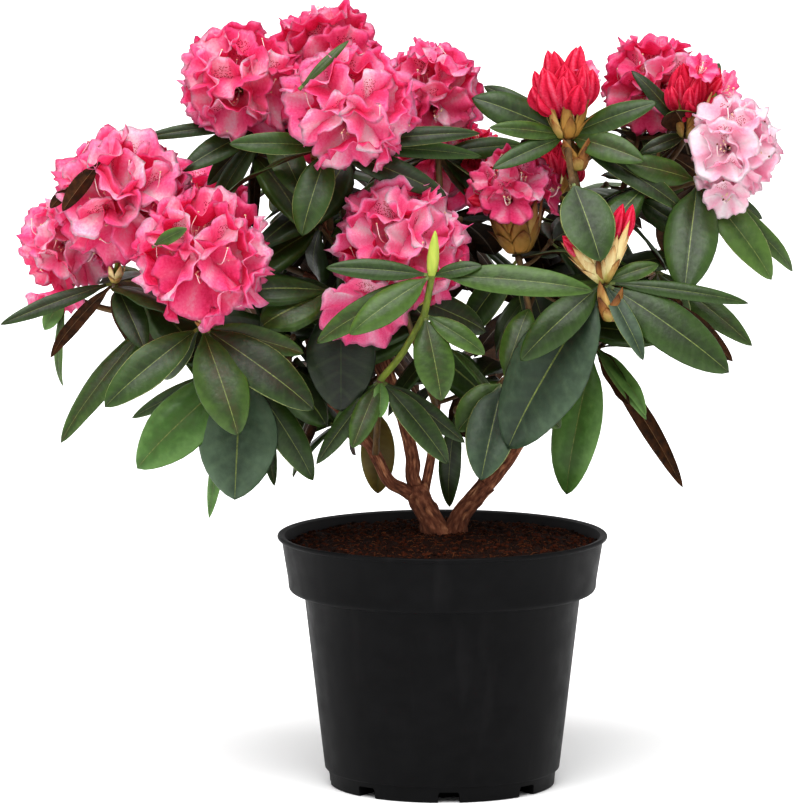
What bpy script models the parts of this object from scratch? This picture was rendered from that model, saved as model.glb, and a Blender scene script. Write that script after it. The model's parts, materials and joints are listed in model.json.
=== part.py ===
"""Potted rhododendron: a nursery pot of soil, a forked trunk, its boughs, and masses of leaf and flower.

Metres, +Z up. The origin is the centre of the pot's flat underside, and the front faces -Y.
The tables give places and sizes in millimetres, as (right, away, up).
"""
import math
import random
from collections import namedtuple

import bmesh
import bpy
from mathutils import Matrix, Vector
from mathutils.bvhtree import BVHTree

MM = 0.001
GAP = 0.3 * MM
SEAT = 0.75 * MM
SEAT_REACH = 24 * MM
SEAT_SAMPLES = 36
UP = Vector((0, 0, 1))
FRONT = Vector((0, -1, 0))

# Pot
POT_HEIGHT = 176 * MM
LIP_RADIUS = 115 * MM
LIP_HEIGHT = 3.2 * MM
WALL = 2.2 * MM
COLLAR_TOP_RADIUS = 112.2 * MM
COLLAR_LOW_RADIUS = 107.2 * MM
COLLAR_HEIGHT = 34 * MM
COLLAR_ROUND = 6 * MM
BODY_TOP_RADIUS = 96.5 * MM
BODY_LOW_RADIUS = 82 * MM
FOOT_RADIUS = 79.4 * MM
FOOT_BASE_RADIUS = 78.4 * MM
FOOT_HEIGHT = 11.5 * MM
FLOOR = 9 * MM
POT_SIDES = 36
NOTCHES = 8
NOTCH_TURN = math.radians(3)
NOTCH_WIDTH = 14 * MM
NOTCH_HEIGHT = 7.4 * MM
NOTCH_DEPTH = 24 * MM

# Soil
SOIL_EDGE = 168 * MM
SOIL_TOP = 176.5 * MM
SOIL_SEAT_RADIUS = 24 * MM
SOIL_RINGS = 2

# Trunk: each arm is a list of (place, radius) from the flat cut at the soil
FLARE_RADIUS = 14.5 * MM
FLARE_HEIGHT = 7 * MM
FLARE_STEPS = ((1, 0), (0.8, 0.5), (0.68, 1))
TRUNK_SIDES = 10
TRUNK_ARMS = {
    "left": (((-4, 0, 176.8), 9.5), ((-9, -1, 188), 8), ((-14, -1, 197), 8), ((-17, 0, 204), 8.4),
             ((-19, 0, 210), 7.2)),
    "right": (((8, 0, 176.8), 7.5), ((13, -3, 190), 6.6), ((21, -4, 200), 6.4), ((31, -5, 212), 6.2)),
}

# Boughs: parent limb, where along it (1 is its tip), radii at foot and tip, then the places passed
Bough = namedtuple("Bough", "parent at radii path")
BOUGH_SIDES = 7
BOUGHS = {
    "bough_left": Bough("left", 0.6, (4.2, 3.4), ((-38, -7, 215), (-50, -6, 238), (-74, -14, 268),
                                                  (-110, -26, 292))),
    "bough_middle": Bough("left", 1, (4.6, 3.2), ((-22, 2, 236), (-38, 6, 290), (-62, 6, 350),
                                                  (-85, 2, 405))),
    "bough_centre": Bough("left", 0.5, (3.2, 2.6), ((-7, 5, 236), (-2, 18, 290), (2, 34, 345),
                                                    (0, 42, 385))),
    "bough_right": Bough("right", 1, (5.4, 3.2), ((52, -6, 240), (74, -2, 285), (92, 2, 335),
                                                  (108, 4, 380))),
    "bough_right_high": Bough("bough_right", 1, (3.0, 2.6), ((120, 10, 398), (140, 18, 416))),
    "bough_back_left": Bough("bough_middle", 0.42, (3.4, 2.6), ((-66, 40, 330), (-96, 66, 350))),
    "bough_back_right": Bough("bough_right", 0.3, (3.6, 2.6), ((72, 46, 300), (84, 84, 340))),
}

# The space that the crown keeps to, its outline in the view from the front, a little from above, as
# (right, up), and the boxes of sky that show through it, as (left, low, right, high)
CROWN_LOW = (-307, -145, 186)
CROWN_HIGH = (249, 212, 548)
VIEW_SLOPE = math.tan(math.radians(7.7))
CROWN_OUTLINE = (
    (-293, 340), (-293, 400), (-265, 446), (-238, 462), (-203, 463), (-168, 435), (-177, 491), (-168, 516),
    (-140, 531), (-99, 547), (-57, 544), (-29, 520), (6, 509), (33, 488), (65, 495), (74, 514), (110, 516),
    (138, 524), (179, 517), (204, 488), (229, 460), (232, 425), (224, 403), (204, 382), (188, 340),
    (195, 312), (179, 295), (138, 305), (110, 277), (103, 242), (82, 225), (40, 240), (-35, 244),
    (-60, 228), (-99, 217), (-158, 207), (-210, 224), (-203, 260), (-231, 267), (-224, 309),
    (-220, 332), (-259, 332),
)
SKY_GAPS = ((-203, 435, -158, 463), (188, 360, 215, 402), (25, 330, 45, 343), (-7, 308, 10, 328),
            (39, 367, 63, 380), (134, 365, 145, 376))

# Leaves
LEAF_ARCH = 0.12
BLADE_START = 0.2
BROAD_STATIONS = (0, 0.1, 0.42, 0.76)
NARROW_STATIONS = (0, 0.1, 0.55)
NARROW_LEAF = 17 * MM
LEAF_THICKNESS = 1 / 62
LEAF_LEAST = 1.3 * MM
PETIOLE = 1.5 * MM
FACING = 0.7
GOLDEN = math.pi * (3 - math.sqrt(5))
TURNS = (0, 7, -7, 14, -14, 21, -21)
LEAF_CLEAR = 0.6 * MM

# Leaves that the seeded rule adds
SEEDED_LENGTH = (72, 98)
SEEDED_WIDTH = (25, 33)
SEEDED_DROOP = (-8, 52)
SEEDED_TRIES = 8
HEADING_DRIFT = 0.2
CROWDED = math.radians(24)
INWARD = -0.6
TO_THE_FRONT = -0.5
FRONT_HALF = 60 * MM

# Twigs
STEM_SIDES = 4
KNOB_RADIUS = 3.8 * MM
STEM_LEAD = 2
STEM_BEND = (0.4, 0.3)
STEM_TAPER = 0.9
TWIG_TAPER = 0.8
TWIG_SAG = 0.06
TWIG_PHASE = 0.3

# Flowers: a truss is drawn with a radius of 1, and its sizes are shares of that
TRUSS_CORE = 0.42
WHOLE_FLOOR = -0.75
OPEN_FLOOR = -0.1
FLORET_THROAT = 0.62
LOBE = (0.50, 0.86)
NOTCH = (0.36, 0.80)
STALK_RADIUS = 3 * MM
POD_SIDES = 5
POD_PROFILE = ((0, 0.18), (0.35, 0.42), (0.7, 0.48), (1, 0.06))
CUP_WIDTH = 0.8
CUP_SINK = 4 * MM
BUD_SINK = 2 * MM
OUTER_BUDS = 6
BUD_SPREAD = (0.36, 0.48)
BUD_LENGTH = (0.8, 0.92)
BUD_WIDTH = 0.6
PRONGS = ((-30, 0, 38), (16, -4, 54))
PRONG_SINK = 3 * MM
PRONG_WIDTH = 0.9

# A whorl is the ring of leaves at a shoot's tip: its place, the earlier whorl that its twig leaves
# (None for the stem's foot), what it bears, the bloom's centre and radius, and how many leaves the
# seeded rule adds. Each leaf that shows is (right, away, up) from the whorl to its tip, its width
# and, if it isn't FACING, how far its upper side turns to the front.
Whorl = namedtuple("Whorl", "place follows bears bloom fill leaves")
Mass = namedtuple("Mass", "parent at radius whorls")
MASSES = {
    "mass_left": Mass("bough_left", 0.80, 2.4, (
        Whorl((-196, 2, 330), None, "fork", None, 1, (
            (-70, -22, -87, 20, 0.6),)),
        Whorl((-262, 6, 342), 0, "truss", ((-259, 6, 378), 33), 2, (
            (-15, 0, -24, 13), (-5, 12, -67, 8, 0.6))),
        Whorl((-226, -34, 356), 0, "truss", ((-219, -42, 412), 47), 2, (
            (-78, -18, -27, 12), (-46, 6, -52, 12, -0.6), (22, -34, -42, 21))),
    )),
    "mass_left_front": Mass("bough_left", 1, 2.8, (
        Whorl((-138, -44, 298), None, "leaf", None, 1, (
            (-74, -12, -68, 42), (-5, -26, -88, 55), (50, -4, -78, 24),
            (22, 12, -84, 14), (-78, 24, -38, 14))),
        Whorl((-165, -86, 332), 0, "truss", ((-163, -98, 379), 44), 1, (
            (-66, -22, -52, 28), (26, -34, -70, 36), (78, -14, -55, 33), (70, 12, -20, 18),
            (-30, 26, -40, 22))),
    )),
    "mass_top_left": Mass("bough_middle", 1, 2.6, (
        Whorl((-121, -14, 464), None, "truss", ((-138, -20, 490), 41), 2, (
            (-90, -14, -9, 10), (-59, -24, -30, 20), (-42, 12, -44, 15), (-44, 2, -72, 16),
            (-30, 40, -20, 20), (26, -36, -48, 24))),
    )),
    "mass_top_front": Mass("bough_middle", 0.93, 2.5, (
        Whorl((-78, -58, 452), None, "truss", ((-64, -70, 480), 43), 2, (
            (-68, -16, 4, 16), (-19, -24, -58, 27), (76, -8, -42, 20), (104, 4, 10, 14),
            (106, 20, -8, 13))),
    )),
    "mass_top_back": Mass("bough_middle", 0.78, 2.4, (
        Whorl((-77, 30, 466), None, "truss", ((-81, 32, 504), 38), 3, ()),
    )),
    "mass_top_right": Mass("bough_centre", 1, 2.4, (
        Whorl((-3, 58, 436), None, "truss", ((-10, 60, 475), 37), 3, (
            (62, 20, 4, 16), (40, 46, -36, 20))),
        Whorl((22, 92, 400), 0, "open", ((22, 92, 424), 26), 1, ()),
    )),
    "mass_centre": Mass("bough_centre", 0.45, 2.4, (
        Whorl((-30, -58, 352), None, "truss", ((-28, -66, 384), 44), 1, (
            (-63, 10, -16, 20), (62, 24, -30, 24))),
        Whorl((-70, -50, 350), 0, "leaf", None, 1, (
            (0, -12, -80, 48),)),
    )),
    "mass_front": Mass("bough_left", 0.5, 2.5, (
        Whorl((-43, -62, 292), None, "leaf", None, 0, (
            (-19, -22, -44, 18), (0, -14, -24, 12), (47, -14, -56, 20), (58, 4, -44, 15),
            (-34, 10, -42, 15), (-44, -2, -58, 15))),
        Whorl((-13, -100, 342), 0, "leaf", None, 0, (
            (42, -8, -26, 16), (12, -18, -57, 28))),
        Whorl((-8, -112, 370), 1, "bud", ((-6, -114, 396), 5), 0, (
            (-72, -4, 6, 15), (-56, -26, -36, 23), (-80, 2, -46, 19), (110, -12, -8, 22),
            (34, -8, 8, 11))),
    )),
    "mass_middle_right": Mass("bough_right", 0.52, 2.4, (
        Whorl((53, 8, 368), None, "open", ((50, 8, 410), 34), 3, (
            (-40, 22, -58, 24), (20, 36, -60, 26))),
    )),
    "mass_right_top": Mass("bough_right", 0.93, 2.4, (
        Whorl((86, -10, 455), None, "buds", ((84, -10, 490), 28), 2, (
            (-66, -8, 28, 27), (-58, 20, 34, 15), (-54, -20, 8, 13), (-52, -26, -20, 15),
            (61, -16, 25, 18), (52, -28, -14, 21), (82, -16, -50, 18))),
        Whorl((88, -66, 430), 0, "leaf", None, 0, (
            (19, -32, -52, 37),)),
    )),
    "mass_right_back": Mass("bough_right_high", 0.6, 2.3, (
        Whorl((138, 62, 450), None, "truss", ((148, 66, 483), 35), 3, (
            (34, -24, -66, 19),)),
    )),
    "mass_right_crown": Mass("bough_right_high", 1, 2.3, (
        Whorl((170, 12, 454), None, "buds", ((175, 8, 485), 25), 2, (
            (-34, -12, -12, 11), (-10, -30, 20, 28, -0.6), (22, 14, 50, 17), (40, 36, -24, 20),
            (-39, -2, 45, 12))),
    )),
    "mass_right_edge": Mass("bough_right_high", 0.82, 2.3, (
        Whorl((176, -12, 424), None, "truss", ((198, -28, 448), 32), 2, (
            (-52, -14, 8, 20), (52, -20, -66, 27), (70, 8, -64, 15), (46, 16, -28, 12),
            (-11, -58, -70, 38))),
    )),
    "mass_right_middle": Mass("bough_right", 0.7, 2.4, (
        Whorl((110, -68, 360), None, "prongs", ((108, -70, 405), 26), 1, (
            (-58, -26, -50, 27), (-67, 4, -116, 58), (86, -14, -60, 35), (100, 2, -14, 12),
            (27, -24, -50, 15), (38, 8, 12, 13), (91, 18, -54, 24, -0.6))),
    )),
    "mass_low_right": Mass("bough_right", 0.4, 2.3, (
        Whorl((106, 16, 304), None, "leaf", None, 3, (
            (36, -26, -46, 10), (24, -4, -36, 17, -0.5), (62, 0, -98, 15, -0.7),
            (-21, -14, -102, 35))),
    )),
    "mass_low_middle": Mass("bough_right", 0.2, 2.3, (
        Whorl((42, -24, 286), None, "leaf", None, 1, (
            (-16, -44, -62, 35), (-32, -18, -32, 26), (18, 22, 50, 22), (40, -14, -30, 24))),
        Whorl((10, 6, 262), 0, "leaf", None, 0, (
            (-6, 0, -69, 17),)),
    )),
    "mass_back_left": Mass("bough_back_left", 1, 2.4, (
        Whorl((-165, 102, 352), None, "truss", ((-170, 112, 386), 34), 7, ()),
    )),
    "mass_back_high": Mass("bough_back_left", 0.75, 2.4, (
        Whorl((-88, 128, 420), None, "truss", ((-88, 134, 458), 36), 7, ()),
    )),
    "mass_back_centre": Mass("bough_centre", 0.72, 2.3, (
        Whorl((-6, 156, 380), None, "truss", ((-8, 164, 420), 37), 7, ()),
    )),
    "mass_back_right": Mass("bough_back_right", 1, 2.4, (
        Whorl((86, 128, 396), None, "buds", ((86, 132, 424), 20), 7, ()),
    )),
    "mass_back_edge": Mass("bough_back_right", 0.8, 2.3, (
        Whorl((152, 112, 348), None, "bud", ((156, 114, 366), 5), 7, (
            (68, -18, -52, 20),)),
    )),
    "mass_back_low": Mass("bough_back_left", 0.45, 2.3, (
        Whorl((-62, 128, 312), None, "leaf", None, 8, ()),
        Whorl((-45, 30, 262), 0, "leaf", None, 0, (
            (0, -8, -62, 24),)),
    )),
    "mass_back_foot": Mass("bough_back_right", 0.45, 2.3, (
        Whorl((52, 132, 306), None, "leaf", None, 7, ()),
    )),
}


def clear_scene():
    for ob in list(bpy.data.objects):
        bpy.data.objects.remove(ob, do_unlink=True)


def material(name, colour, roughness):
    mat = bpy.data.materials.new(name)
    mat.use_nodes = True
    mat.diffuse_color = (*colour, 1)
    shader = mat.node_tree.nodes["Principled BSDF"]
    shader.inputs["Base Color"].default_value = (*colour, 1)
    shader.inputs["Roughness"].default_value = roughness
    shader.inputs["Metallic"].default_value = 0
    return mat


def vec(place):
    """A place given in millimetres, in metres."""
    return Vector(place) * MM


def make_object(name, shape, mat):
    verts, faces = shape
    mesh = bpy.data.meshes.new(name)
    mesh.from_pydata([tuple(v) for v in verts], [], faces)
    ob = bpy.data.objects.new(name, mesh)
    bpy.context.scene.collection.objects.link(ob)
    ob.data.materials.append(mat)
    return ob


def turned(profile, sides):
    """A closed solid of revolution. The profile runs from the axis, round the outside, to the axis."""
    verts = [Vector((0, 0, profile[0][1]))]
    rings = profile[1:-1]
    for radius, height in rings:
        for i in range(sides):
            a = 2 * math.pi * i / sides
            verts.append(Vector((radius * math.cos(a), radius * math.sin(a), height)))
    verts.append(Vector((0, 0, profile[-1][1])))
    last = len(verts) - 1
    faces = []
    for i in range(sides):
        j = (i + 1) % sides
        faces.append((0, 1 + j, 1 + i))
        faces.append((last, last - sides + i, last - sides + j))
        for k in range(len(rings) - 1):
            low = 1 + k * sides
            high = low + sides
            faces.append((low + i, low + j, high + j, high + i))
    return verts, faces


def collar_inside(height):
    """Radius of the collar's inner wall at a height."""
    low = POT_HEIGHT - COLLAR_HEIGHT + COLLAR_ROUND / 2
    t = (height - low) / (POT_HEIGHT - low)
    return COLLAR_LOW_RADIUS + t * (COLLAR_TOP_RADIUS - COLLAR_LOW_RADIUS) - WALL


def inner_profile(inset):
    """The pot's inner wall from its floor up to the soil's edge, set in by a clearance."""
    collar_foot = POT_HEIGHT - COLLAR_HEIGHT
    floor = FLOOR + inset
    shoulder = collar_foot - COLLAR_ROUND + WALL + inset
    inside = WALL + inset
    return [
        (FOOT_RADIUS - inside, floor),
        (BODY_LOW_RADIUS - inside, FOOT_HEIGHT + WALL),
        (BODY_TOP_RADIUS - inside, shoulder),
        (COLLAR_LOW_RADIUS - inside - COLLAR_ROUND / 2, shoulder),
        (COLLAR_LOW_RADIUS - inside, collar_foot + COLLAR_ROUND / 2),
    ]


def pot(mat):
    collar_foot = POT_HEIGHT - COLLAR_HEIGHT
    outside = [
        (0, 0),
        (FOOT_BASE_RADIUS, 0),
        (FOOT_RADIUS, FOOT_HEIGHT - MM),
        (BODY_LOW_RADIUS, FOOT_HEIGHT),
        (BODY_TOP_RADIUS, collar_foot - COLLAR_ROUND),
        (COLLAR_LOW_RADIUS - COLLAR_ROUND, collar_foot - COLLAR_ROUND),
        (COLLAR_LOW_RADIUS - COLLAR_ROUND * 0.3, collar_foot - COLLAR_ROUND * 0.7),
        (COLLAR_LOW_RADIUS, collar_foot),
        (COLLAR_TOP_RADIUS, POT_HEIGHT - LIP_HEIGHT),
        (LIP_RADIUS, POT_HEIGHT - LIP_HEIGHT + MM),
        (LIP_RADIUS, POT_HEIGHT - MM),
        (LIP_RADIUS - MM, POT_HEIGHT),
        (COLLAR_TOP_RADIUS - WALL, POT_HEIGHT),
    ]
    shape = turned(outside + inner_profile(0)[::-1] + [(0, FLOOR)], POT_SIDES)
    ob = make_object("pot", shape, mat)
    for i in range(NOTCHES):
        cut_notch(ob, NOTCH_TURN + math.radians(-90) + 2 * math.pi * i / NOTCHES)
    ob.data.shade_smooth()
    ob.data.set_sharp_from_angle(angle=math.radians(35))
    return ob


def cut_notch(ob, angle):
    """One blind drain channel, cut into the foot's edge from below."""
    bm = bmesh.new()
    bmesh.ops.create_cube(bm, size=1)
    reach = FOOT_RADIUS - NOTCH_DEPTH / 2 + MM
    size = Matrix.Diagonal((NOTCH_DEPTH + 2 * MM, NOTCH_WIDTH, 2 * NOTCH_HEIGHT, 1))
    bm.transform(Matrix.Rotation(angle, 4, "Z") @ Matrix.Translation((reach, 0, 0)) @ size)
    mesh = bpy.data.meshes.new("notch")
    bm.to_mesh(mesh)
    bm.free()
    cutter = bpy.data.objects.new("notch", mesh)
    bpy.context.scene.collection.objects.link(cutter)
    cut = ob.modifiers.new("notch", "BOOLEAN")
    cut.operation = "DIFFERENCE"
    cut.object = cutter
    apply_modifiers(ob)
    bpy.data.objects.remove(cutter, do_unlink=True)


def apply_modifiers(ob):
    graph = bpy.context.evaluated_depsgraph_get()
    graph.update()
    mesh = bpy.data.meshes.new_from_object(ob.evaluated_get(graph))
    ob.modifiers.clear()
    ob.data = mesh


def soil(mat):
    """The root ball and compost: it fills the pot, mounded up to a flat seat for the trunk."""
    walls = inner_profile(GAP)
    edge = collar_inside(SOIL_EDGE) - GAP
    profile = [(0, FLOOR + GAP)] + walls + [(edge, SOIL_EDGE)]
    for k in range(1, SOIL_RINGS):
        t = k / SOIL_RINGS
        radius = edge + t * (SOIL_SEAT_RADIUS - edge)
        profile.append((radius, SOIL_EDGE + (SOIL_TOP - SOIL_EDGE) * math.sin(t * math.pi / 2)))
    profile += [(SOIL_SEAT_RADIUS, SOIL_TOP), (0, SOIL_TOP)]
    return make_object("soil", turned(profile, POT_SIDES), mat)


def smooth_path(points, steps):
    """A Catmull-Rom curve through the points, with a number of steps to each stretch."""
    ends = [2 * points[0] - points[1]] + points + [2 * points[-1] - points[-2]]
    path = [points[0]]
    for i in range(1, len(ends) - 2):
        a, b, c, d = ends[i - 1:i + 3]
        for k in range(1, steps + 1):
            t = k / steps
            path.append(0.5 * (2 * b + (c - a) * t + (2 * a - 5 * b + 4 * c - d) * t * t
                               + (3 * b - a - 3 * c + d) * t ** 3))
    return path


def ring(place, forward, side, radius, sides, phase=0.0):
    other = forward.cross(side)
    turns = [phase + 2 * math.pi * i / sides for i in range(sides)]
    return [place + radius * (math.cos(a) * side + math.sin(a) * other) for a in turns]


def sweep(path, radii, sides, phase=0.0):
    """A closed tapering limb along a path, its rings turned as little as the path allows."""
    along = [(path[min(i + 1, len(path) - 1)] - path[max(i - 1, 0)]).normalized() for i in range(len(path))]
    side = along[0].orthogonal().normalized()
    verts = []
    for point, forward, radius in zip(path, along, radii):
        side = (side - side.dot(forward) * forward).normalized()
        verts += ring(point, forward, side, radius, sides, phase)
    faces = [tuple(range(sides - 1, -1, -1))]
    for k in range(len(path) - 1):
        for i in range(sides):
            j = (i + 1) % sides
            faces.append((k * sides + i, k * sides + j, (k + 1) * sides + j, (k + 1) * sides + i))
    faces.append(tuple(range((len(path) - 1) * sides, len(path) * sides)))
    return verts, faces


def taper(count, first, last):
    return [first + (last - first) * i / (count - 1) for i in range(count)]


class Limb:
    """A limb's centre line and surface, which its branches are seated on."""

    def __init__(self, path, shape):
        self.path = path
        self.surface = BVHTree.FromPolygons([tuple(v) for v in shape[0]], shape[1])

    def at(self, share):
        """The place at a share of the limb's length."""
        k = share * (len(self.path) - 1)
        i = min(int(k), len(self.path) - 2)
        return self.path[i].lerp(self.path[i + 1], k - i)

    def leave(self, share, target, radius):
        """Where a branch starts, its foot clear of this limb's bark by SEAT, and the way it sets out."""
        if share == 1:
            forward = (self.path[-1] - self.path[-2]).normalized()
            return self.path[-1] + forward * GAP, forward
        place = self.at(share)
        heading = (target - place).normalized()
        foot = ring(place + heading * SEAT_REACH, heading, heading.orthogonal().normalized(), radius,
                    SEAT_SAMPLES)
        hits = [self.surface.ray_cast(v, -heading)[3] for v in foot]
        travel = min(hit for hit in hits if hit is not None)
        return place + heading * (SEAT_REACH - travel + SEAT), heading


def trunk(mat, limbs):
    """The stump at the soil, with a slight flare, and the two arms of its fork."""
    arms = []
    paths = {}
    for name, stations in TRUNK_ARMS.items():
        path = smooth_path([vec(place) for place, _ in stations], 2)
        radii = halved([r * MM for _, r in stations])
        paths[name] = path
        arms.append(sweep(path, radii, TRUNK_SIDES))
    cut = SOIL_TOP + GAP
    middle = (paths["left"][0] + paths["right"][0]) / 2
    flare = [(FLARE_RADIUS * share, cut + FLARE_HEIGHT * rise) for share, rise in FLARE_STEPS]
    verts, faces = turned([(0, cut)] + flare + [(0, cut + FLARE_HEIGHT)], TRUNK_SIDES)
    stump = ([v + Vector((middle.x, middle.y, 0)) for v in verts], faces)
    ob = fuse("trunk", [stump] + [lift_foot(arm, cut + MM) for arm in arms], mat)
    for name, path in paths.items():
        limbs[name] = Limb(path, shape_of(ob))
    return ob


def halved(values):
    """The values with the mean of each two put between them."""
    made = values[:1]
    for low, high in zip(values, values[1:]):
        made += [(low + high) / 2, high]
    return made


def lift_foot(shape, height):
    """A limb whose foot ends inside the stump, just above its flat cut."""
    verts, faces = shape
    return [Vector((v.x, v.y, max(v.z, height))) for v in verts], faces


def bough(name, spec, limbs, mat):
    points = [vec(p) for p in spec.path]
    foot, tip = (r * MM for r in spec.radii)
    start, heading = limbs[spec.parent].leave(spec.at, points[0], foot)
    out = start + heading * foot * 2
    path = [start] + smooth_path([out] + points, 2)
    radii = taper(len(path), foot, tip)
    shape = sweep(path, radii, BOUGH_SIDES)
    limbs[name] = Limb(path, shape)
    return make_object(name, shape, mat)


def upper_side(run, facing):
    """The way a leaf's upper side looks: up and outwards, turned to the front by facing."""
    level = Vector((run.x, run.y, 0))
    level = level.normalized() if level.length > MM else FRONT
    slope = math.atan2(run.z, Vector((run.x, run.y)).length)
    natural = math.cos(slope) * UP - math.sin(slope) * level
    look = (1 - abs(facing)) * natural + facing * FRONT
    forward = run.normalized()
    look -= look.dot(forward) * forward
    return look.normalized()


def leaf(base, run, width, facing, stations):
    """A three-sided blade, flat above with a keel for its midrib below, arched along its run."""
    forward = run.normalized()
    up = upper_side(run, facing)
    side = up.cross(forward)
    length = run.length
    thick = max(LEAF_THICKNESS * length, LEAF_LEAST)
    crest = base + run / 2 + up * LEAF_ARCH * length
    verts = []
    for t in stations:
        middle = (1 - t) ** 2 * base + 2 * t * (1 - t) * crest + t * t * (base + run)
        half = PETIOLE if t < BLADE_START else width / 2 * blade_width(t)
        rise = PETIOLE / 2 if t == 0 else 0
        keel = PETIOLE if t < BLADE_START else thick
        verts += [middle - side * half + up * rise, middle - up * keel, middle + side * half + up * rise]
    verts.append(base + run)
    faces = [(2, 1, 0)]
    last = 3 * (len(stations) - 1)
    for k in range(0, last, 3):
        for i in range(3):
            j = (i + 1) % 3
            faces.append((k + i, k + j, k + 3 + j, k + 3 + i))
    faces += [(last + i, last + (i + 1) % 3, last + 3) for i in range(3)]
    return verts, faces


def blade_width(t):
    """Share of the full width at a share of the length: widest at the middle, blunt at the tip."""
    return math.sin(math.pi * t ** 0.9) ** 0.72


def truss(centre, radius, axis, seed, whole):
    """A ball of flared florets on a core. A whole one has florets all round, an open one on top."""
    rng = random.Random(seed)
    bm = bmesh.new()
    bmesh.ops.create_icosphere(bm, subdivisions=1, radius=TRUSS_CORE)
    lowest = min(bm.faces, key=lambda f: f.calc_center_median().z)
    level = lowest.calc_center_median().normalized().rotation_difference(-UP).to_matrix().to_4x4()
    bm.transform(Matrix.Rotation(rng.uniform(0, 2), 4, "Z") @ level)
    half_edge = bm.edges[:][0].calc_length() / 2
    bmesh.ops.bevel(bm, geom=bm.verts[:], offset=half_edge, affect="VERTICES", segments=1, profile=0.5)
    bmesh.ops.remove_doubles(bm, verts=bm.verts[:], dist=0.01)
    floor = WHOLE_FLOOR if whole else OPEN_FLOOR
    caps = [f for f in bm.faces if len(f.verts) == 5 and f.calc_center_median().z > floor * TRUSS_CORE]
    for cap in bmesh.ops.extrude_discrete_faces(bm, faces=caps)["faces"]:
        open_floret(bm, cap, rng)
    bmesh.ops.triangulate(bm, faces=bm.faces[:])
    turn = UP.rotation_difference(axis).to_matrix().to_4x4()
    bm.transform(Matrix.Translation(centre) @ turn @ Matrix.Scale(radius, 4))
    bm.verts.index_update()
    shape = [v.co.copy() for v in bm.verts], [tuple(v.index for v in f.verts) for f in bm.faces]
    bm.free()
    return shape


def open_floret(bm, cap, rng):
    """Five lobes at the cap's corners, a notch between each two, and a throat in the middle."""
    aim = cap.calc_center_median().normalized()
    lobes = cap.verts[:]
    notches = [bmesh.utils.edge_split(edge, edge.verts[0], 0.5)[1] for edge in cap.edges[:]]
    for group, (spread, reach) in ((lobes, LOBE), (notches, NOTCH)):
        for v in group:
            out = v.co - v.co.dot(aim) * aim
            size = spread * rng.uniform(0.9, 1.0)
            v.co = aim * reach * rng.uniform(0.96, 1.03) + out.normalized() * size
    throat = bmesh.ops.poke(bm, faces=[cap])["verts"][0]
    throat.co = aim * FLORET_THROAT


def pod(base, run, width, phase=0.0):
    """A closed bud: a spindle, fattest a little above its middle."""
    path = [base + run * t for t, _ in POD_PROFILE]
    radii = [width * r for _, r in POD_PROFILE]
    return sweep(path, radii, POD_SIDES, phase)


def bud_cluster(foot, centre, radius, seed):
    """Closed flower buds that stand together on a short axis, pointing up and out."""
    rng = random.Random(seed)
    axis = (centre - foot).normalized()
    side = axis.orthogonal().normalized()
    length = 2 * (centre - foot).length
    shapes = [pod(foot, axis * length, radius * CUP_WIDTH)]
    for i in range(OUTER_BUDS):
        around = Matrix.Rotation(2 * math.pi * i / OUTER_BUDS + rng.uniform(-0.1, 0.1), 3, axis) @ side
        aim = (axis + around * rng.uniform(*BUD_SPREAD)).normalized()
        run = aim * length * rng.uniform(*BUD_LENGTH)
        shapes.append(pod(foot + around * radius * 0.1, run, radius * BUD_WIDTH, rng.uniform(0, 1)))
    return shapes


def bloom(whorl, place, seed):
    """What a whorl bears, fused to a twig that is sunk into it."""
    if whorl.bears in ("leaf", "fork"):
        return []
    centre, radius = vec(whorl.bloom[0]), whorl.bloom[1] * MM
    axis = (centre - place).normalized()
    if whorl.bears == "bud":
        return [pod(place - axis * BUD_SINK, (centre - place) * 1.6, radius * 2)]
    if whorl.bears == "buds":
        return bud_cluster(place - axis * BUD_SINK, centre, radius, seed)
    if whorl.bears == "prongs":
        sink = UP * PRONG_SINK
        return [pod(place - sink, vec(tip) + sink, radius * PRONG_WIDTH) for tip in PRONGS]
    stalk = sweep([place, centre], [STALK_RADIUS, STALK_RADIUS], STEM_SIDES)
    if whorl.bears == "open":
        cup = pod(place - axis * CUP_SINK, (centre - place) * 1.5, radius * CUP_WIDTH)
        return [stalk, cup, truss(centre, radius, axis, seed, False)]
    return [stalk, truss(centre, radius, axis, seed, True)]


def knob(place, radius):
    """The swollen end of a shoot, in which its leaves have their roots."""
    bm = bmesh.new()
    bmesh.ops.create_icosphere(bm, subdivisions=1, radius=radius)
    bm.transform(Matrix.Translation(place))
    bm.verts.index_update()
    shape = [v.co.copy() for v in bm.verts], [tuple(v.index for v in f.verts) for f in bm.faces]
    bm.free()
    return shape


def tree_of(shape):
    verts, faces = shape
    return BVHTree.FromPolygons([tuple(v) for v in verts], faces, epsilon=LEAF_CLEAR)


def box_of(shape):
    verts = shape[0]
    low = [min(v[k] for v in verts) - LEAF_CLEAR for k in range(3)]
    high = [max(v[k] for v in verts) + LEAF_CLEAR for k in range(3)]
    return low, high


class Space:
    """The shapes placed so far, each with its owner, so that what is added can be kept clear."""

    def __init__(self):
        self.items = []

    def add(self, owner, shape):
        self.items.append((owner, box_of(shape), tree_of(shape)))

    def is_free(self, owner, shape):
        """Whether a shape touches nothing that another owner has placed."""
        low, high = box_of(shape)
        tree = None
        for other, (other_low, other_high), other_tree in self.items:
            if other == owner:
                continue
            if any(low[k] > other_high[k] or high[k] < other_low[k] for k in range(3)):
                continue
            tree = tree or tree_of(shape)
            if tree.overlap(other_tree):
                return False
        return True


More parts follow.
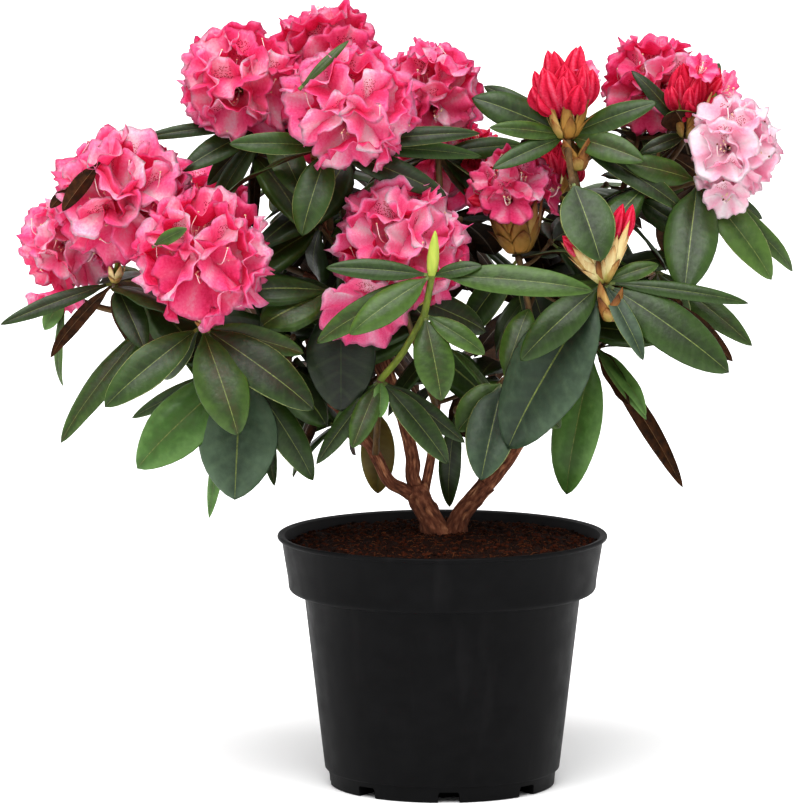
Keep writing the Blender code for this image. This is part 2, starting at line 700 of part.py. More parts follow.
def mass_wood(name, spec, limbs):
    """The mass's stem and twigs, from whorl to whorl, and the blooms they bear."""
    shapes = []
    places = []
    radius = spec.radius * MM
    for k, whorl in enumerate(spec.whorls):
        place = vec(whorl.place)
        if whorl.follows is None:
            start, heading = limbs[spec.parent].leave(spec.at, place, radius)
            first = start + heading * radius * STEM_LEAD
            middle = first + heading * (place - first).length * STEM_BEND[0]
            path = [start, first, middle.lerp(place, STEM_BEND[1]), place]
            radii = taper(len(path), radius, radius * STEM_TAPER)
            shapes.append(sweep(path, radii, STEM_SIDES))
        else:
            start = places[whorl.follows]
            middle = start.lerp(place, 0.5) - UP * (place - start).length * TWIG_SAG
            radii = taper(3, radius * STEM_TAPER, radius * TWIG_TAPER)
            shapes.append(sweep([start, middle, place], radii, STEM_SIDES, TWIG_PHASE))
        places.append(place)
        shapes.append(knob(place, KNOB_RADIUS))
        shapes += bloom(whorl, place, f"{name} {k}")
    return shapes, places


def shown_leaves(whorl):
    """The leaves that are given tip by tip, as (run, width, facing)."""
    return [(vec(row[:3]), row[3] * MM, row[4] if len(row) == 5 else FACING) for row in whorl.leaves]


def seeded_leaves(whorl, place, seed):
    """More leaves round the whorl, at golden angles, drooping and away from those that show."""
    rng = random.Random(seed)
    shown = [run for run, _, _ in shown_leaves(whorl)]
    out = Vector((place.x, place.y, 0))
    leaves = []
    for i in range(SEEDED_TRIES * whorl.fill):
        if len(leaves) == whorl.fill:
            break
        heading = i * GOLDEN + rng.uniform(-HEADING_DRIFT, HEADING_DRIFT)
        droop = math.radians(rng.uniform(*SEEDED_DROOP))
        run = Vector((math.cos(heading) * math.cos(droop), math.sin(heading) * math.cos(droop),
                      -math.sin(droop))) * rng.uniform(*SEEDED_LENGTH) * MM
        inward = run.dot(out) < INWARD * run.length * out.length
        crowded = any(run.angle(other) < CROWDED for other in shown)
        in_view = run.y < TO_THE_FRONT * run.length and place.y < FRONT_HALF
        stands_out = not (in_outline(place + run * 0.6) and in_outline(place + run))
        if not (inward or crowded or in_view or stands_out):
            leaves.append((run, rng.uniform(*SEEDED_WIDTH) * MM, 0.0))
            shown.append(run)
    return leaves


def in_outline(place):
    """Whether a place lies within the crown's outline as seen, and clear of the sky that shows through."""
    x, up = place.x / MM, (place.z + place.y * VIEW_SLOPE) / MM
    inside = False
    for (x0, z0), (x1, z1) in zip(CROWN_OUTLINE, CROWN_OUTLINE[1:] + CROWN_OUTLINE[:1]):
        if (z0 > up) != (z1 > up) and x < x0 + (up - z0) / (z1 - z0) * (x1 - x0):
            inside = not inside
    return inside and not any(x0 < x < x1 and z0 < up < z1 for x0, z0, x1, z1 in SKY_GAPS)


def in_crown(place):
    return all(low * MM <= x <= high * MM for x, low, high in zip(place, CROWN_LOW, CROWN_HIGH))


def place_leaves(name, places, sources, space, shapes):
    """Adds each leaf that stays in the crown and clear of other masses, turned a little if need be."""
    for place, leaves in zip(places, sources):
        for run, width, facing in leaves:
            stations = BROAD_STATIONS if width > NARROW_LEAF and facing else NARROW_STATIONS
            for turn in TURNS:
                turned_run = Matrix.Rotation(math.radians(turn), 3, FRONT) @ run
                shape = leaf(place, turned_run, width, facing, stations)
                if in_crown(place + turned_run) and space.is_free(name, shape):
                    shapes.append(shape)
                    space.add(name, shape)
                    break


def fuse(name, shapes, mat):
    """One closed body from overlapping closed shapes."""
    group = bpy.data.collections.new(name)
    bpy.context.scene.collection.children.link(group)
    body = make_object(name, shapes[0], mat)
    for shape in shapes[1:]:
        piece = make_object("piece", shape, mat)
        bpy.context.scene.collection.objects.unlink(piece)
        group.objects.link(piece)
    union = body.modifiers.new("union", "BOOLEAN")
    union.operation = "UNION"
    union.operand_type = "COLLECTION"
    union.collection = group
    apply_modifiers(body)
    for piece in list(group.objects):
        bpy.data.objects.remove(piece, do_unlink=True)
    bpy.data.collections.remove(group)
    keep_largest_shell(body.data)
    return body


def keep_largest_shell(mesh):
    """Drops loose scraps and the walls of sealed hollows, so that one body is left."""
    bm = bmesh.new()
    bm.from_mesh(mesh)
    left = set(bm.verts)
    shells = []
    while left:
        stack = [left.pop()]
        shell = list(stack)
        while stack:
            for edge in stack.pop().link_edges:
                for v in edge.verts:
                    if v in left:
                        left.remove(v)
                        stack.append(v)
                        shell.append(v)
        shells.append(shell)
    shells.sort(key=len)
    scraps = [v for shell in shells[:-1] for v in shell]
    bmesh.ops.delete(bm, geom=scraps, context="VERTS")
    bm.to_mesh(mesh)
    bm.free()


def shape_of(ob):
    mesh = ob.data
    return [v.co.copy() for v in mesh.vertices], [tuple(p.vertices) for p in mesh.polygons]


def build():
    clear_scene()
    plastic = material("pot_plastic", (0.012, 0.012, 0.013), 0.5)
    compost = material("compost", (0.035, 0.014, 0.008), 0.95)
    bark = material("bark", (0.16, 0.07, 0.04), 0.85)
    foliage = material("foliage", (0.05, 0.11, 0.03), 0.4)
    limbs = {}
    space = Space()
    solids = [pot(plastic), soil(compost), trunk(bark, limbs)]
    solids += [bough(name, spec, limbs, bark) for name, spec in BOUGHS.items()]
    for ob in solids:
        space.add(ob.name, shape_of(ob))
    shapes, places = {}, {}
    for name, spec in MASSES.items():
        shapes[name], places[name] = mass_wood(name, spec, limbs)
        for shape in shapes[name]:
            space.add(name, shape)
    for name, spec in MASSES.items():
        shown = [shown_leaves(whorl) for whorl in spec.whorls]
        place_leaves(name, places[name], shown, space, shapes[name])
    for name, spec in MASSES.items():
        seeded = [seeded_leaves(whorl, place, f"{name} leaf {k}")
                  for k, (whorl, place) in enumerate(zip(spec.whorls, places[name]))]
        place_leaves(name, places[name], seeded, space, shapes[name])
    for name in MASSES:
        fuse(name, shapes[name], foliage)


build()
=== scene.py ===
"""Looks of the potted rhododendron: plastic pot, compost, peeling bark, glossy leaves and ruffled blossom.

Metres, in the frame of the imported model: +Z up, the front faces -Y. The tables give places and sizes in
millimetres, as (right, away, up). They repeat those of the source, so that each leaf grows where its
solid is.
"""
import json
import math
import random
from collections import namedtuple

import bpy
import numpy as np
from mathutils import Matrix, Vector, noise
from mathutils.bvhtree import BVHTree
from mathutils.kdtree import KDTree

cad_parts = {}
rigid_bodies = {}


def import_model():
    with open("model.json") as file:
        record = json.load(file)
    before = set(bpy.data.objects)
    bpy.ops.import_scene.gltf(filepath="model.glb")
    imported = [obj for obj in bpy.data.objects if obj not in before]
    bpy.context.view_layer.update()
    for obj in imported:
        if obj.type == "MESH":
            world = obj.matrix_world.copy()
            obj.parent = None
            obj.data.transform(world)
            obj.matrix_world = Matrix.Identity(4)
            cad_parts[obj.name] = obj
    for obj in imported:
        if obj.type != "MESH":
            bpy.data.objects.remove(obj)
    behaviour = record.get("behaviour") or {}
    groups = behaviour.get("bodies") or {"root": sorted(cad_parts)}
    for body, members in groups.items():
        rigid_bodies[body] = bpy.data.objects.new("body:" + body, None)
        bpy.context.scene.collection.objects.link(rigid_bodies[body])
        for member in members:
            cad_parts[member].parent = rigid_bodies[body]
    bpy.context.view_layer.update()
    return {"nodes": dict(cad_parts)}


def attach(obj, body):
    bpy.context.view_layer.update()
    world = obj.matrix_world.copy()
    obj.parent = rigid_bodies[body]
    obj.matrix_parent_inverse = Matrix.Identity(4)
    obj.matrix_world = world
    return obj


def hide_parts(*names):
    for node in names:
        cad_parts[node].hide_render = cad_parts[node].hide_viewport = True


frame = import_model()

MM = 0.001
UP = Vector((0, 0, 1))
FRONT = Vector((0, -1, 0))
GOLDEN = math.pi * (3 - math.sqrt(5))
NODES = frame["nodes"]

# Camera: a long lens, a little above the crown's middle, so that a pixel is about 0.695 mm at the plant
PHOTO_HEIGHT = 808
PIXEL = 0.695 * MM
CAMERA_DISTANCE = 5
CAMERA_PITCH = math.radians(7.7)
CAMERA_AIM = Vector((-29.5, 0, 267)) * MM
SENSOR = 36
CLIP_START = 0.1
CLIP_END = 100

# Light, floor and view
ROOM_LIGHT = 0.74
SUN_POWER = 3.0
SUN_WIDTH = math.radians(56)
SUN_AIM = Vector((0.10, 0.5, -1.0))
FLOOR_REACH = 40
EXPOSURE = 0.22
GAMMA = 0.88

# Pot
POT_HEIGHT = 176 * MM
LIP_RADIUS = 115 * MM
WALL = 2.2 * MM
COLLAR_TOP_RADIUS = 112.2 * MM
COLLAR_LOW_RADIUS = 107.2 * MM
COLLAR_FOOT = POT_HEIGHT - 34 * MM
COLLAR_ROUND = 6 * MM
BODY_TOP_RADIUS = 96.5 * MM
BODY_LOW_RADIUS = 82 * MM
FOOT_RADIUS = 79.4 * MM
FOOT_BASE_RADIUS = 78.4 * MM
FOOT_HEIGHT = 11.5 * MM
POT_FLOOR = 9 * MM
POT_SIDES = 180
INNER_RINGS = 7
NOTCHES = 8
NOTCH_TURN = math.radians(3)
NOTCH_WIDTH = 14 * MM
NOTCH_HEIGHT = 7.4 * MM
NOTCH_DEPTH = 24 * MM

# Soil: its lumps are of three sizes, each as (layer, scale, height)
SOIL_EDGE = 168 * MM
SOIL_TOP = 176.5 * MM
SOIL_RADIUS = 108.6 * MM
SOIL_RINGS = 64
SOIL_SIDES = 200
MOUND_FLAT = 0.2
SOIL_LUMPS = ((0, 55, 2.4), (3, 190, 2.1), (7, 520, 0.7))
CRUMBS = 2200
CRUMB_SIZES = (0.5, 2.2)
FIBRES = 1500
FIBRE_LENGTHS = (1.5, 6)
FIBRE_WIDTHS = (0.1, 0.28)

# Wood: each trunk arm is a list of (place, radius); a bough is its parent, its share along it, its radii
# at foot and tip, and the places it passes
TRUNK_ARMS = {
    "left": (((-4, 0, 176.8), 9.5), ((-9, -1, 188), 8), ((-14, -1, 197), 8), ((-17, 0, 204), 8.4),
             ((-19, 0, 210), 7.2)),
    "right": (((8, 0, 176.8), 7.5), ((13, -3, 190), 6.6), ((21, -4, 200), 6.4), ((31, -5, 212), 6.2)),
}
Bough = namedtuple("Bough", "parent at radii path")
BOUGHS = {
    "bough_left": Bough("left", 0.6, (4.2, 3.4), ((-38, -7, 215), (-50, -6, 238), (-74, -14, 268),
                                                  (-110, -26, 292))),
    "bough_middle": Bough("left", 1, (4.6, 3.2), ((-22, 2, 236), (-38, 6, 290), (-62, 6, 350),
                                                  (-85, 2, 405))),
    "bough_centre": Bough("left", 0.5, (3.2, 2.6), ((-7, 5, 236), (-2, 18, 290), (2, 34, 345),
                                                    (0, 42, 385))),
    "bough_right": Bough("right", 1, (5.4, 3.2), ((52, -6, 240), (74, -2, 285), (92, 2, 335),
                                                  (108, 4, 380))),
    "bough_right_high": Bough("bough_right", 1, (3.0, 2.6), ((120, 10, 398), (140, 18, 416))),
    "bough_back_left": Bough("bough_middle", 0.42, (3.4, 2.6), ((-66, 40, 330), (-96, 66, 350))),
    "bough_back_right": Bough("bough_right", 0.3, (3.6, 2.6), ((72, 46, 300), (84, 84, 340))),
}

# Steps between the places of a curve, for the bark and for where branches leave, then rings and sides
CURVE_STEPS = 6
LIMB_STEPS = 2
TRUNK_SIDES = 40
TRUNK_PITCH = 1.1 * MM
FOOT_SINK = 2.5 * MM
FOOT_FLARE = (1.25, 1.14)
BOUGH_SIDES = 28
BOUGH_PITCH = 1.4 * MM
TWIG_SIDES = 14
TWIG_PITCH = 1.6 * MM
BRANCH_SINK = 3

# Relief of the bark: how fast it varies round a limb and along it, and its height in radii
BARK_STRIPS = (3.2, 22, 0.13)
BARK_FIBRES = (9, 90, 0.06)
BARK_LUMPS = (1.3, 75, 0.5)
LUMP_START = 0.25
TRUNK_SEED_STEP = 3.7
BOUGH_SEED, BOUGH_SEED_STEP = 11.3, 5.1
TWIG_SEED_STEP = 1.7

CROWN_LOW = (-307, -145, 186)
CROWN_HIGH = (249, 212, 548)

# Leaves
LEAF_ARCH = 0.12
FACING = 0.7
PETIOLE = 1.5 * MM
PETIOLE_SHARE = 0.1
TURNS = (0, 7, -7, 14, -14, 21, -21)
TIP_FOUND = 0.4 * MM
LEAF_CLEAR = 0.6 * MM
KNOB_RADIUS = 2.7 * MM
BLADE_RISE, BLADE_FALL, BLADE_PEAK = 0.66, 0.72, 0.384
BLADE_FOLD = (0.14, 0.34)
BLADE_ROLL = (0.16, 0.46)
BLADE_WAVE = (0.02, 0.09)
BLADE_TWIST = 0.3
TIP_HOOK = 0.07
BLADE_THICK = 0.35 * MM
RIB_THICK = 1.0 * MM
# Share of finely drawn leaves whose rim strips are painted pale: a painted highlight where the rolled edge
# catches light
MARGIN_HIGHLIGHT_SHARE = 0.35

# Leaves dealt by the seeded rule, in millimetres and degrees, round a mass's whorl and on a side shoot
WHORL_LENGTHS, WHORL_WIDTHS = (72, 98), (25, 33)
SHOOT_LENGTHS, SHOOT_WIDTHS = (55, 95), (24, 38)
DROOPS = (-8, 52)
LEAVES_APART = 24
TONES_DEALT = (0.62, 0.36, 0.02)
# Leaves on side shoots fill the inside of the crown and are dealt darker tones there: painted shade
SHOOT_TONES_DEALT = (0.75, 0.25)
SHOOT_REACH = (18, 42)
SHOOT_LEAVES = 9
SHOOT_TIP_RADIUS = 1.3 * MM
SHOOT_KNOB_RADIUS = 2.2 * MM
STEM_SHOOTS = (0.95, 0.88, 0.8, 0.72, 0.64, 0.56, 0.48, 0.4, 0.3)
BOUGH_SHOOTS = np.linspace(0.97, 0.25, 18)
BOUGH_SHOOT_RADIUS = 2.4 * MM

# The whorls of each mass: place, the earlier whorl that its twig leaves, what it bears, the bloom's centre
# and radius, how many leaves the seeded rule adds, and the leaves that show, from the whorl to each tip
Whorl = namedtuple("Whorl", "place follows bears bloom fill leaves")
Mass = namedtuple("Mass", "parent at radius whorls")
MASSES = {
    "mass_left": Mass("bough_left", 0.80, 2.4, (
        Whorl((-196, 2, 330), None, "fork", None, 1, (
            (-70, -22, -87, 20, 0.6),)),
        Whorl((-262, 6, 342), 0, "truss", ((-259, 6, 378), 33), 2, (
            (-15, 0, -24, 13), (-5, 12, -67, 8, 0.6))),
        Whorl((-226, -34, 356), 0, "truss", ((-219, -42, 412), 47), 2, (
            (-78, -18, -27, 12), (-46, 6, -52, 12, -0.6), (22, -34, -42, 21))),
    )),
    "mass_left_front": Mass("bough_left", 1, 2.8, (
        Whorl((-138, -44, 298), None, "leaf", None, 1, (
            (-74, -12, -68, 42), (-5, -26, -88, 55), (50, -4, -78, 24),
            (22, 12, -84, 14), (-78, 24, -38, 14))),
        Whorl((-165, -86, 332), 0, "truss", ((-163, -98, 379), 44), 1, (
            (-66, -22, -52, 28), (26, -34, -70, 36), (78, -14, -55, 33), (70, 12, -20, 18),
            (-30, 26, -40, 22))),
    )),
    "mass_top_left": Mass("bough_middle", 1, 2.6, (
        Whorl((-121, -14, 464), None, "truss", ((-138, -20, 490), 41), 2, (
            (-90, -14, -9, 10), (-59, -24, -30, 20), (-42, 12, -44, 15), (-44, 2, -72, 16),
            (-30, 40, -20, 20), (26, -36, -48, 24))),
    )),
    "mass_top_front": Mass("bough_middle", 0.93, 2.5, (
        Whorl((-78, -58, 452), None, "truss", ((-64, -70, 480), 43), 2, (
            (-68, -16, 4, 16), (-19, -24, -58, 27), (76, -8, -42, 20), (104, 4, 10, 14),
            (106, 20, -8, 13))),
    )),
    "mass_top_back": Mass("bough_middle", 0.78, 2.4, (
        Whorl((-77, 30, 466), None, "truss", ((-81, 32, 504), 38), 3, ()),
    )),
    "mass_top_right": Mass("bough_centre", 1, 2.4, (
        Whorl((-3, 58, 436), None, "truss", ((-10, 60, 475), 37), 3, (
            (62, 20, 4, 16), (40, 46, -36, 20))),
        Whorl((22, 92, 400), 0, "open", ((22, 92, 424), 26), 1, ()),
    )),
    "mass_centre": Mass("bough_centre", 0.45, 2.4, (
        Whorl((-30, -58, 352), None, "truss", ((-28, -66, 384), 44), 1, (
            (-63, 10, -16, 20), (62, 24, -30, 24))),
        Whorl((-70, -50, 350), 0, "leaf", None, 1, (
            (0, -12, -80, 48),)),
    )),
    "mass_front": Mass("bough_left", 0.5, 2.5, (
        Whorl((-43, -62, 292), None, "leaf", None, 0, (
            (-19, -22, -44, 18), (0, -14, -24, 12), (47, -14, -56, 20), (58, 4, -44, 15),
            (-34, 10, -42, 15), (-44, -2, -58, 15))),
        Whorl((-13, -100, 342), 0, "leaf", None, 0, (
            (42, -8, -26, 16), (12, -18, -57, 28))),
        Whorl((-8, -112, 370), 1, "bud", ((-6, -114, 396), 5), 0, (
            (-72, -4, 6, 15), (-56, -26, -36, 23), (-80, 2, -46, 19), (110, -12, -8, 22),
            (34, -8, 8, 11))),
    )),
    "mass_middle_right": Mass("bough_right", 0.52, 2.4, (
        Whorl((53, 8, 368), None, "open", ((50, 8, 410), 34), 3, (
            (-40, 22, -58, 24), (20, 36, -60, 26))),
    )),
    "mass_right_top": Mass("bough_right", 0.93, 2.4, (
        Whorl((86, -10, 455), None, "buds", ((84, -10, 490), 28), 2, (
            (-66, -8, 28, 27), (-58, 20, 34, 15), (-54, -20, 8, 13), (-52, -26, -20, 15),
            (61, -16, 25, 18), (52, -28, -14, 21), (82, -16, -50, 18))),
        Whorl((88, -66, 430), 0, "leaf", None, 0, (
            (19, -32, -52, 37),)),
    )),
    "mass_right_back": Mass("bough_right_high", 0.6, 2.3, (
        Whorl((138, 62, 450), None, "truss", ((148, 66, 483), 35), 3, (
            (34, -24, -66, 19),)),
    )),
    "mass_right_crown": Mass("bough_right_high", 1, 2.3, (
        Whorl((170, 12, 454), None, "buds", ((175, 8, 485), 25), 2, (
            (-34, -12, -12, 11), (-10, -30, 20, 28, -0.6), (22, 14, 50, 17), (40, 36, -24, 20),
            (-39, -2, 45, 12))),
    )),
    "mass_right_edge": Mass("bough_right_high", 0.82, 2.3, (
        Whorl((176, -12, 424), None, "truss", ((198, -28, 448), 32), 2, (
            (-52, -14, 8, 20), (52, -20, -66, 27), (70, 8, -64, 15), (46, 16, -28, 12),
            (-11, -58, -70, 38))),
    )),
    "mass_right_middle": Mass("bough_right", 0.7, 2.4, (
        Whorl((110, -68, 360), None, "prongs", ((108, -70, 405), 26), 1, (
            (-58, -26, -50, 27), (-67, 4, -116, 58), (86, -14, -60, 35), (100, 2, -14, 12),
            (27, -24, -50, 15), (38, 8, 12, 13), (91, 18, -54, 24, -0.6))),
    )),
    "mass_low_right": Mass("bough_right", 0.4, 2.3, (
        Whorl((106, 16, 304), None, "leaf", None, 3, (
            (36, -26, -46, 10), (24, -4, -36, 17, -0.5), (62, 0, -98, 15, -0.7),
            (-21, -14, -102, 35))),
    )),
    "mass_low_middle": Mass("bough_right", 0.2, 2.3, (
        Whorl((42, -24, 286), None, "leaf", None, 1, (
            (-16, -44, -62, 35), (-32, -18, -32, 26), (18, 22, 50, 22), (40, -14, -30, 24))),
        Whorl((10, 6, 262), 0, "leaf", None, 0, (
            (-6, 0, -69, 17),)),
    )),
    "mass_back_left": Mass("bough_back_left", 1, 2.4, (
        Whorl((-165, 102, 352), None, "truss", ((-170, 112, 386), 34), 7, ()),
    )),
    "mass_back_high": Mass("bough_back_left", 0.75, 2.4, (
        Whorl((-88, 128, 420), None, "truss", ((-88, 134, 458), 36), 7, ()),
    )),
    "mass_back_centre": Mass("bough_centre", 0.72, 2.3, (
        Whorl((-6, 156, 380), None, "truss", ((-8, 164, 420), 37), 7, ()),
    )),
    "mass_back_right": Mass("bough_back_right", 1, 2.4, (
        Whorl((86, 128, 396), None, "buds", ((86, 132, 424), 20), 7, ()),
    )),
    "mass_back_edge": Mass("bough_back_right", 0.8, 2.3, (
        Whorl((152, 112, 348), None, "bud", ((156, 114, 366), 5), 7, (
            (68, -18, -52, 20),)),
    )),
    "mass_back_low": Mass("bough_back_left", 0.45, 2.3, (
        Whorl((-62, 128, 312), None, "leaf", None, 8, ()),
        Whorl((-45, 30, 262), 0, "leaf", None, 0, (
            (0, -8, -62, 24),)),
    )),
    "mass_back_foot": Mass("bough_back_right", 0.45, 2.3, (
        Whorl((52, 132, 306), None, "leaf", None, 7, ()),
    )),
}

# The two tall buds that stand apart on one shoot: runs, how much red shows, and tones of their scales
PRONGS = ((-30, 0, 38), (16, -4, 54))
PRONG_SHOWING = (0.47, 0.6)
PRONG_TONES = ((1, 2, 0), (0, 2, 2))
PRONG_RADIUS = 7.8 * MM
PRONG_BUDS = 4
PRONG_BUD_WIDTH = 4.2 * MM

# The crown's outline in the view from the front, right and up from the pot's foot, without the leaves that
# stand out of it, and the boxes of sky that show through it
CROWN_OUTLINE = (
    (-293, 340), (-293, 400), (-265, 446), (-238, 462), (-203, 463), (-168, 435), (-177, 491), (-168, 516),
    (-140, 531), (-99, 547), (-57, 544), (-29, 520), (6, 509), (33, 488), (65, 495), (74, 514), (110, 516),
    (138, 524), (179, 517), (204, 488), (229, 460), (232, 425), (224, 403), (204, 382), (188, 340),
    (195, 312), (179, 295), (138, 305), (110, 277), (103, 242), (82, 225), (40, 240), (-35, 244),
    (-60, 228), (-99, 217), (-158, 207), (-210, 224), (-203, 260), (-231, 267), (-224, 309),
    (-220, 332), (-259, 332),
)
SKY_GAPS = ((-203, 435, -158, 463), (188, 360, 215, 402), (25, 330, 45, 343), (-7, 308, 10, 328),
            (39, 367, 63, 380), (134, 365, 145, 376))

# What only the looks add: leaves among the blossom, as (place, run, width, facing, tone, region),
# single florets, as (foot, place, aim, size, tone, region), and old scales round a shoot, as (foot, axis,
# height, radius, region), then the leaves and trusses that have their own colour, where the deep leaves
# are painted shade, and which part of the crown each mass is joined with
STRAY_LEAVES = (
    ((-234, -80, 444), (-26, 6, -34), 13, -0.8, "mid", "left"),
    ((-256, -60, 424), (-13, 4, -14), 8, -0.8, "mid", "left"),
    ((-197, -126, 391), (24, -12, 14), 10, 0.7, "mid", "left"),
    ((-98, -98, 495), (34, 12, 33), 6.5, 0.8, "mid", "top"),
    ((-138, -40, 296), (-24, 18, -106), 13, 0.7, "light", "left"),
    ((133, 12, 411), (43, -28, -27), 21, 0.75, "dark", "right"),
    ((106, 14, 306), (24, -24, -38), 20, -0.6, "mid", "right"),
    ((106, 14, 306), (36, -34, -43), 14, 0.4, "light", "right"),
    # These three inner leaves take the near-black deep tone, painted shade
    ((-121, -10, 462), (-9, 36, -78), 35, 0.5, "deep", "left"),
    ((-121, -10, 462), (19, 34, -82), 35, 0.5, "deep", "left"),
    ((-121, -10, 462), (-34, 40, -66), 30, 0.5, "deep", "left"),
)
STRAY_FLORETS = (
    ((86, -10, 455), (94, -4, 494), (0.6, -0.4, 0.6), 12, "pink", "right"),
    ((170, 12, 454), (176, 0, 496), (0.3, -0.7, 0.7), 12, "pink", "right"),
    ((170, 12, 454), (190, -4, 484), (0.9, -0.5, 0.2), 14, "pink", "right"),
    ((176, -12, 424), (196, -30, 420), (-0.2, -0.8, -0.5), 16, "pale", "right"),
    ((-262, 6, 342), (-266, 2, 352), (-0.2, -0.6, -0.7), 20, "pink", "left"),
    ((-30, -58, 352), (-54, -66, 352), (-0.4, -0.7, -0.5), 30, "pink", "centre"),
)
STRAY_SCALES = (
    ((94, -14, 432), (-0.1, -0.1, 1), 26, 11, "right"),
    ((114, -70, 334), (0, -0.1, 1), 28, 10, "right"),
    ((-20, -60, 344), (0.1, -0.2, 1), 16, 11, "centre"),
)
# A leaf in the deep tone is drawn near black, painted shade for a leaf in the crown's shadow
LEAF_TONES = {
    ("mass_left_front", 0, 0): "light", ("mass_left_front", 0, 1): "grey", ("mass_left_front", 1, 1): "mid",
    ("mass_left_front", 1, 0): "dark", ("mass_left", 0, 0): "mid", ("mass_left", 1, 0): "light",
    ("mass_left", 1, 1): "mid", ("mass_top_front", 0, 3): "dark", ("mass_centre", 1, 0): "deep",
    ("mass_front", 0, 0): "mid", ("mass_front", 0, 1): "light", ("mass_front", 1, 1): "mid",
    ("mass_front", 2, 3): "mid", ("mass_right_top", 1, 0): "dark", ("mass_right_edge", 0, 4): "dark",
    ("mass_right_middle", 0, 0): "dark", ("mass_right_middle", 0, 1): "grey",
    ("mass_right_middle", 0, 4): "grey", ("mass_low_right", 0, 0): "light",
    ("mass_low_right", 0, 3): "light", ("mass_low_middle", 0, 0): "grey", ("mass_low_middle", 0, 1): "mid",
    ("mass_back_low", 1, 0): "olive",
}
TRUSS_TONES = {"mass_left_front": "deep", "mass_right_edge": "pale", "mass_right_back": "deep",
               "mass_middle_right": "deep", "mass_top_back": "deep"}
REGION_MASSES = {
    "left": "left left_front top_left",
    "top": "top_front top_back top_right",
    "centre": "centre front",
    "right": "middle_right right_top right_back right_crown right_edge right_middle low_right low_middle",
    "back": "back_left back_high back_centre back_right back_edge back_low back_foot",
}
REGIONS = {region: ["mass_" + name for name in names.split()] for region, names in REGION_MASSES.items()}
SHOOT_REGIONS = {"bough_left": "left", "bough_middle": "centre", "bough_centre": "centre",
                 "bough_right": "right", "bough_right_high": "right", "bough_back_left": "back",
                 "bough_back_right": "back"}


def vec(place):
    """A place given in millimetres, in metres."""
    return Vector(place) * MM


# Materials

def linear(code):
    """A colour written as six hexadecimal figures, as the linear values a shader takes."""
    parts = [int(code[i:i + 2], 16) / 255 for i in (0, 2, 4)]
    return tuple(c / 12.92 if c <= 0.04045 else ((c + 0.055) / 1.055) ** 2.4 for c in parts) + (1,)


class Shader:
    """A material built up from nodes round one Principled shader."""

    def __init__(self, name, roughness=0.5, specular=0.5):
        self.mat = bpy.data.materials.new(name)
        self.mat.use_nodes = True
        self.tree = self.mat.node_tree
        self.main = self.tree.nodes["Principled BSDF"]
        self.main.inputs["Roughness"].default_value = roughness
        self.main.inputs["Specular IOR Level"].default_value = specular

    def node(self, kind, links=(), **values):
        """Adds a node, sets its properties or sockets by name, and links sockets into it by number."""
        made = self.tree.nodes.new(kind)
        for key, value in values.items():
            if hasattr(made, key):
                setattr(made, key, value)
            else:
                made.inputs[key.replace("_", " ").title()].default_value = value
        for number, socket in links:
            self.tree.links.new(socket, made.inputs[number])
        return made

    def place(self, stretch=(1, 1, 1), source="Object"):
        coords = self.node("ShaderNodeTexCoord")
        scaled = self.node("ShaderNodeMapping", [(0, coords.outputs[source])])
        scaled.inputs["Scale"].default_value = stretch
        return scaled.outputs[0]

    def noise(self, scale, detail=4.0, at=None):
        links = [] if at is None else [("Vector", at)]
        return self.node("ShaderNodeTexNoise", links, scale=scale, detail=detail).outputs[0]

    def attribute(self, name):
        return self.node("ShaderNodeAttribute", attribute_name=name).outputs["Fac"]

    def ramp(self, factor, *stops):
        """Blends colours at positions along a factor."""
        ramp = self.node("ShaderNodeValToRGB", [(0, factor)])
        points = ramp.color_ramp.elements
        while len(points) < len(stops):
            points.new(0.5)
        for point, (position, colour) in zip(points, stops):
            point.position = position
            point.color = linear(colour) if isinstance(colour, str) else colour
        return ramp.outputs[0]

    def spread(self, factor, low, high, start=0.3, end=0.7):
        made = self.node("ShaderNodeMapRange", [(0, factor)])
        for number, value in enumerate((start, end, low, high), 1):
            made.inputs[number].default_value = value
        return made.outputs[0]

    def add(self, first, second, operation="ADD"):
        return self.node("ShaderNodeMath", [(0, first), (1, second)], operation=operation).outputs[0]

    def mix(self, factor, first, second):
        """Mixes two colours, each a socket or a colour code."""
        made = self.node("ShaderNodeMix", [(0, factor)], data_type="RGBA")
        for number, colour in ((6, first), (7, second)):
            if isinstance(colour, str):
                made.inputs[number].default_value = linear(colour)
            else:
                self.tree.links.new(colour, made.inputs[number])
        return made.outputs[2]

    def colour(self, socket):
        self.tree.links.new(socket, self.main.inputs["Base Color"])

    def rough(self, socket):
        self.tree.links.new(socket, self.main.inputs["Roughness"])

    def glow(self, colour, share):
        """Lets a share of the light through a thin sheet."""
        through = self.node("ShaderNodeBsdfTranslucent", [(0, colour)])
        mixed = self.node("ShaderNodeMixShader", [(1, self.main.outputs[0]), (2, through.outputs[0])])
        mixed.inputs[0].default_value = share
        self.tree.links.new(mixed.outputs[0], self.tree.nodes["Material Output"].inputs[0])

    def bump(self, height, distance, strength=1.0):
        made = self.node("ShaderNodeBump", [("Height", height)], strength=strength, distance=distance)
        self.tree.links.new(made.outputs[0], self.main.inputs["Normal"])


def leaf_top(name, tinge, dark, light, gloss):
    """Upper side of a leaf: olive by the midrib, greener to the margin, with faint side veins."""
    s = Shader(name, gloss, 0.38)
    patches = s.spread(s.noise(42, 3), -0.16, 0.16)
    veins = s.node("ShaderNodeTexWave", [("Vector", s.place((1, 1, 1), "UV"))], wave_type="BANDS",
                   bands_direction="Y", scale=0.42, distortion=1.6, detail=2.0)
    line = s.spread(veins.outputs[1], 0, 1, 0.72, 1.0)
    body = s.ramp(s.add(s.attribute("shade"), patches), (0.0, tinge), (0.36, dark), (0.95, light))
    s.colour(s.mix(s.spread(line, 0, 0.03, 0, 1), body, "7f9560"))
    s.rough(s.spread(s.noise(90, 5), gloss - 0.05, gloss + 0.12))
    s.bump(s.add(s.spread(s.noise(120, 2), 0, 1.0), s.spread(line, 0.1, 0, 0, 1)), 0.18 * MM, 0.35)
    return s.mat


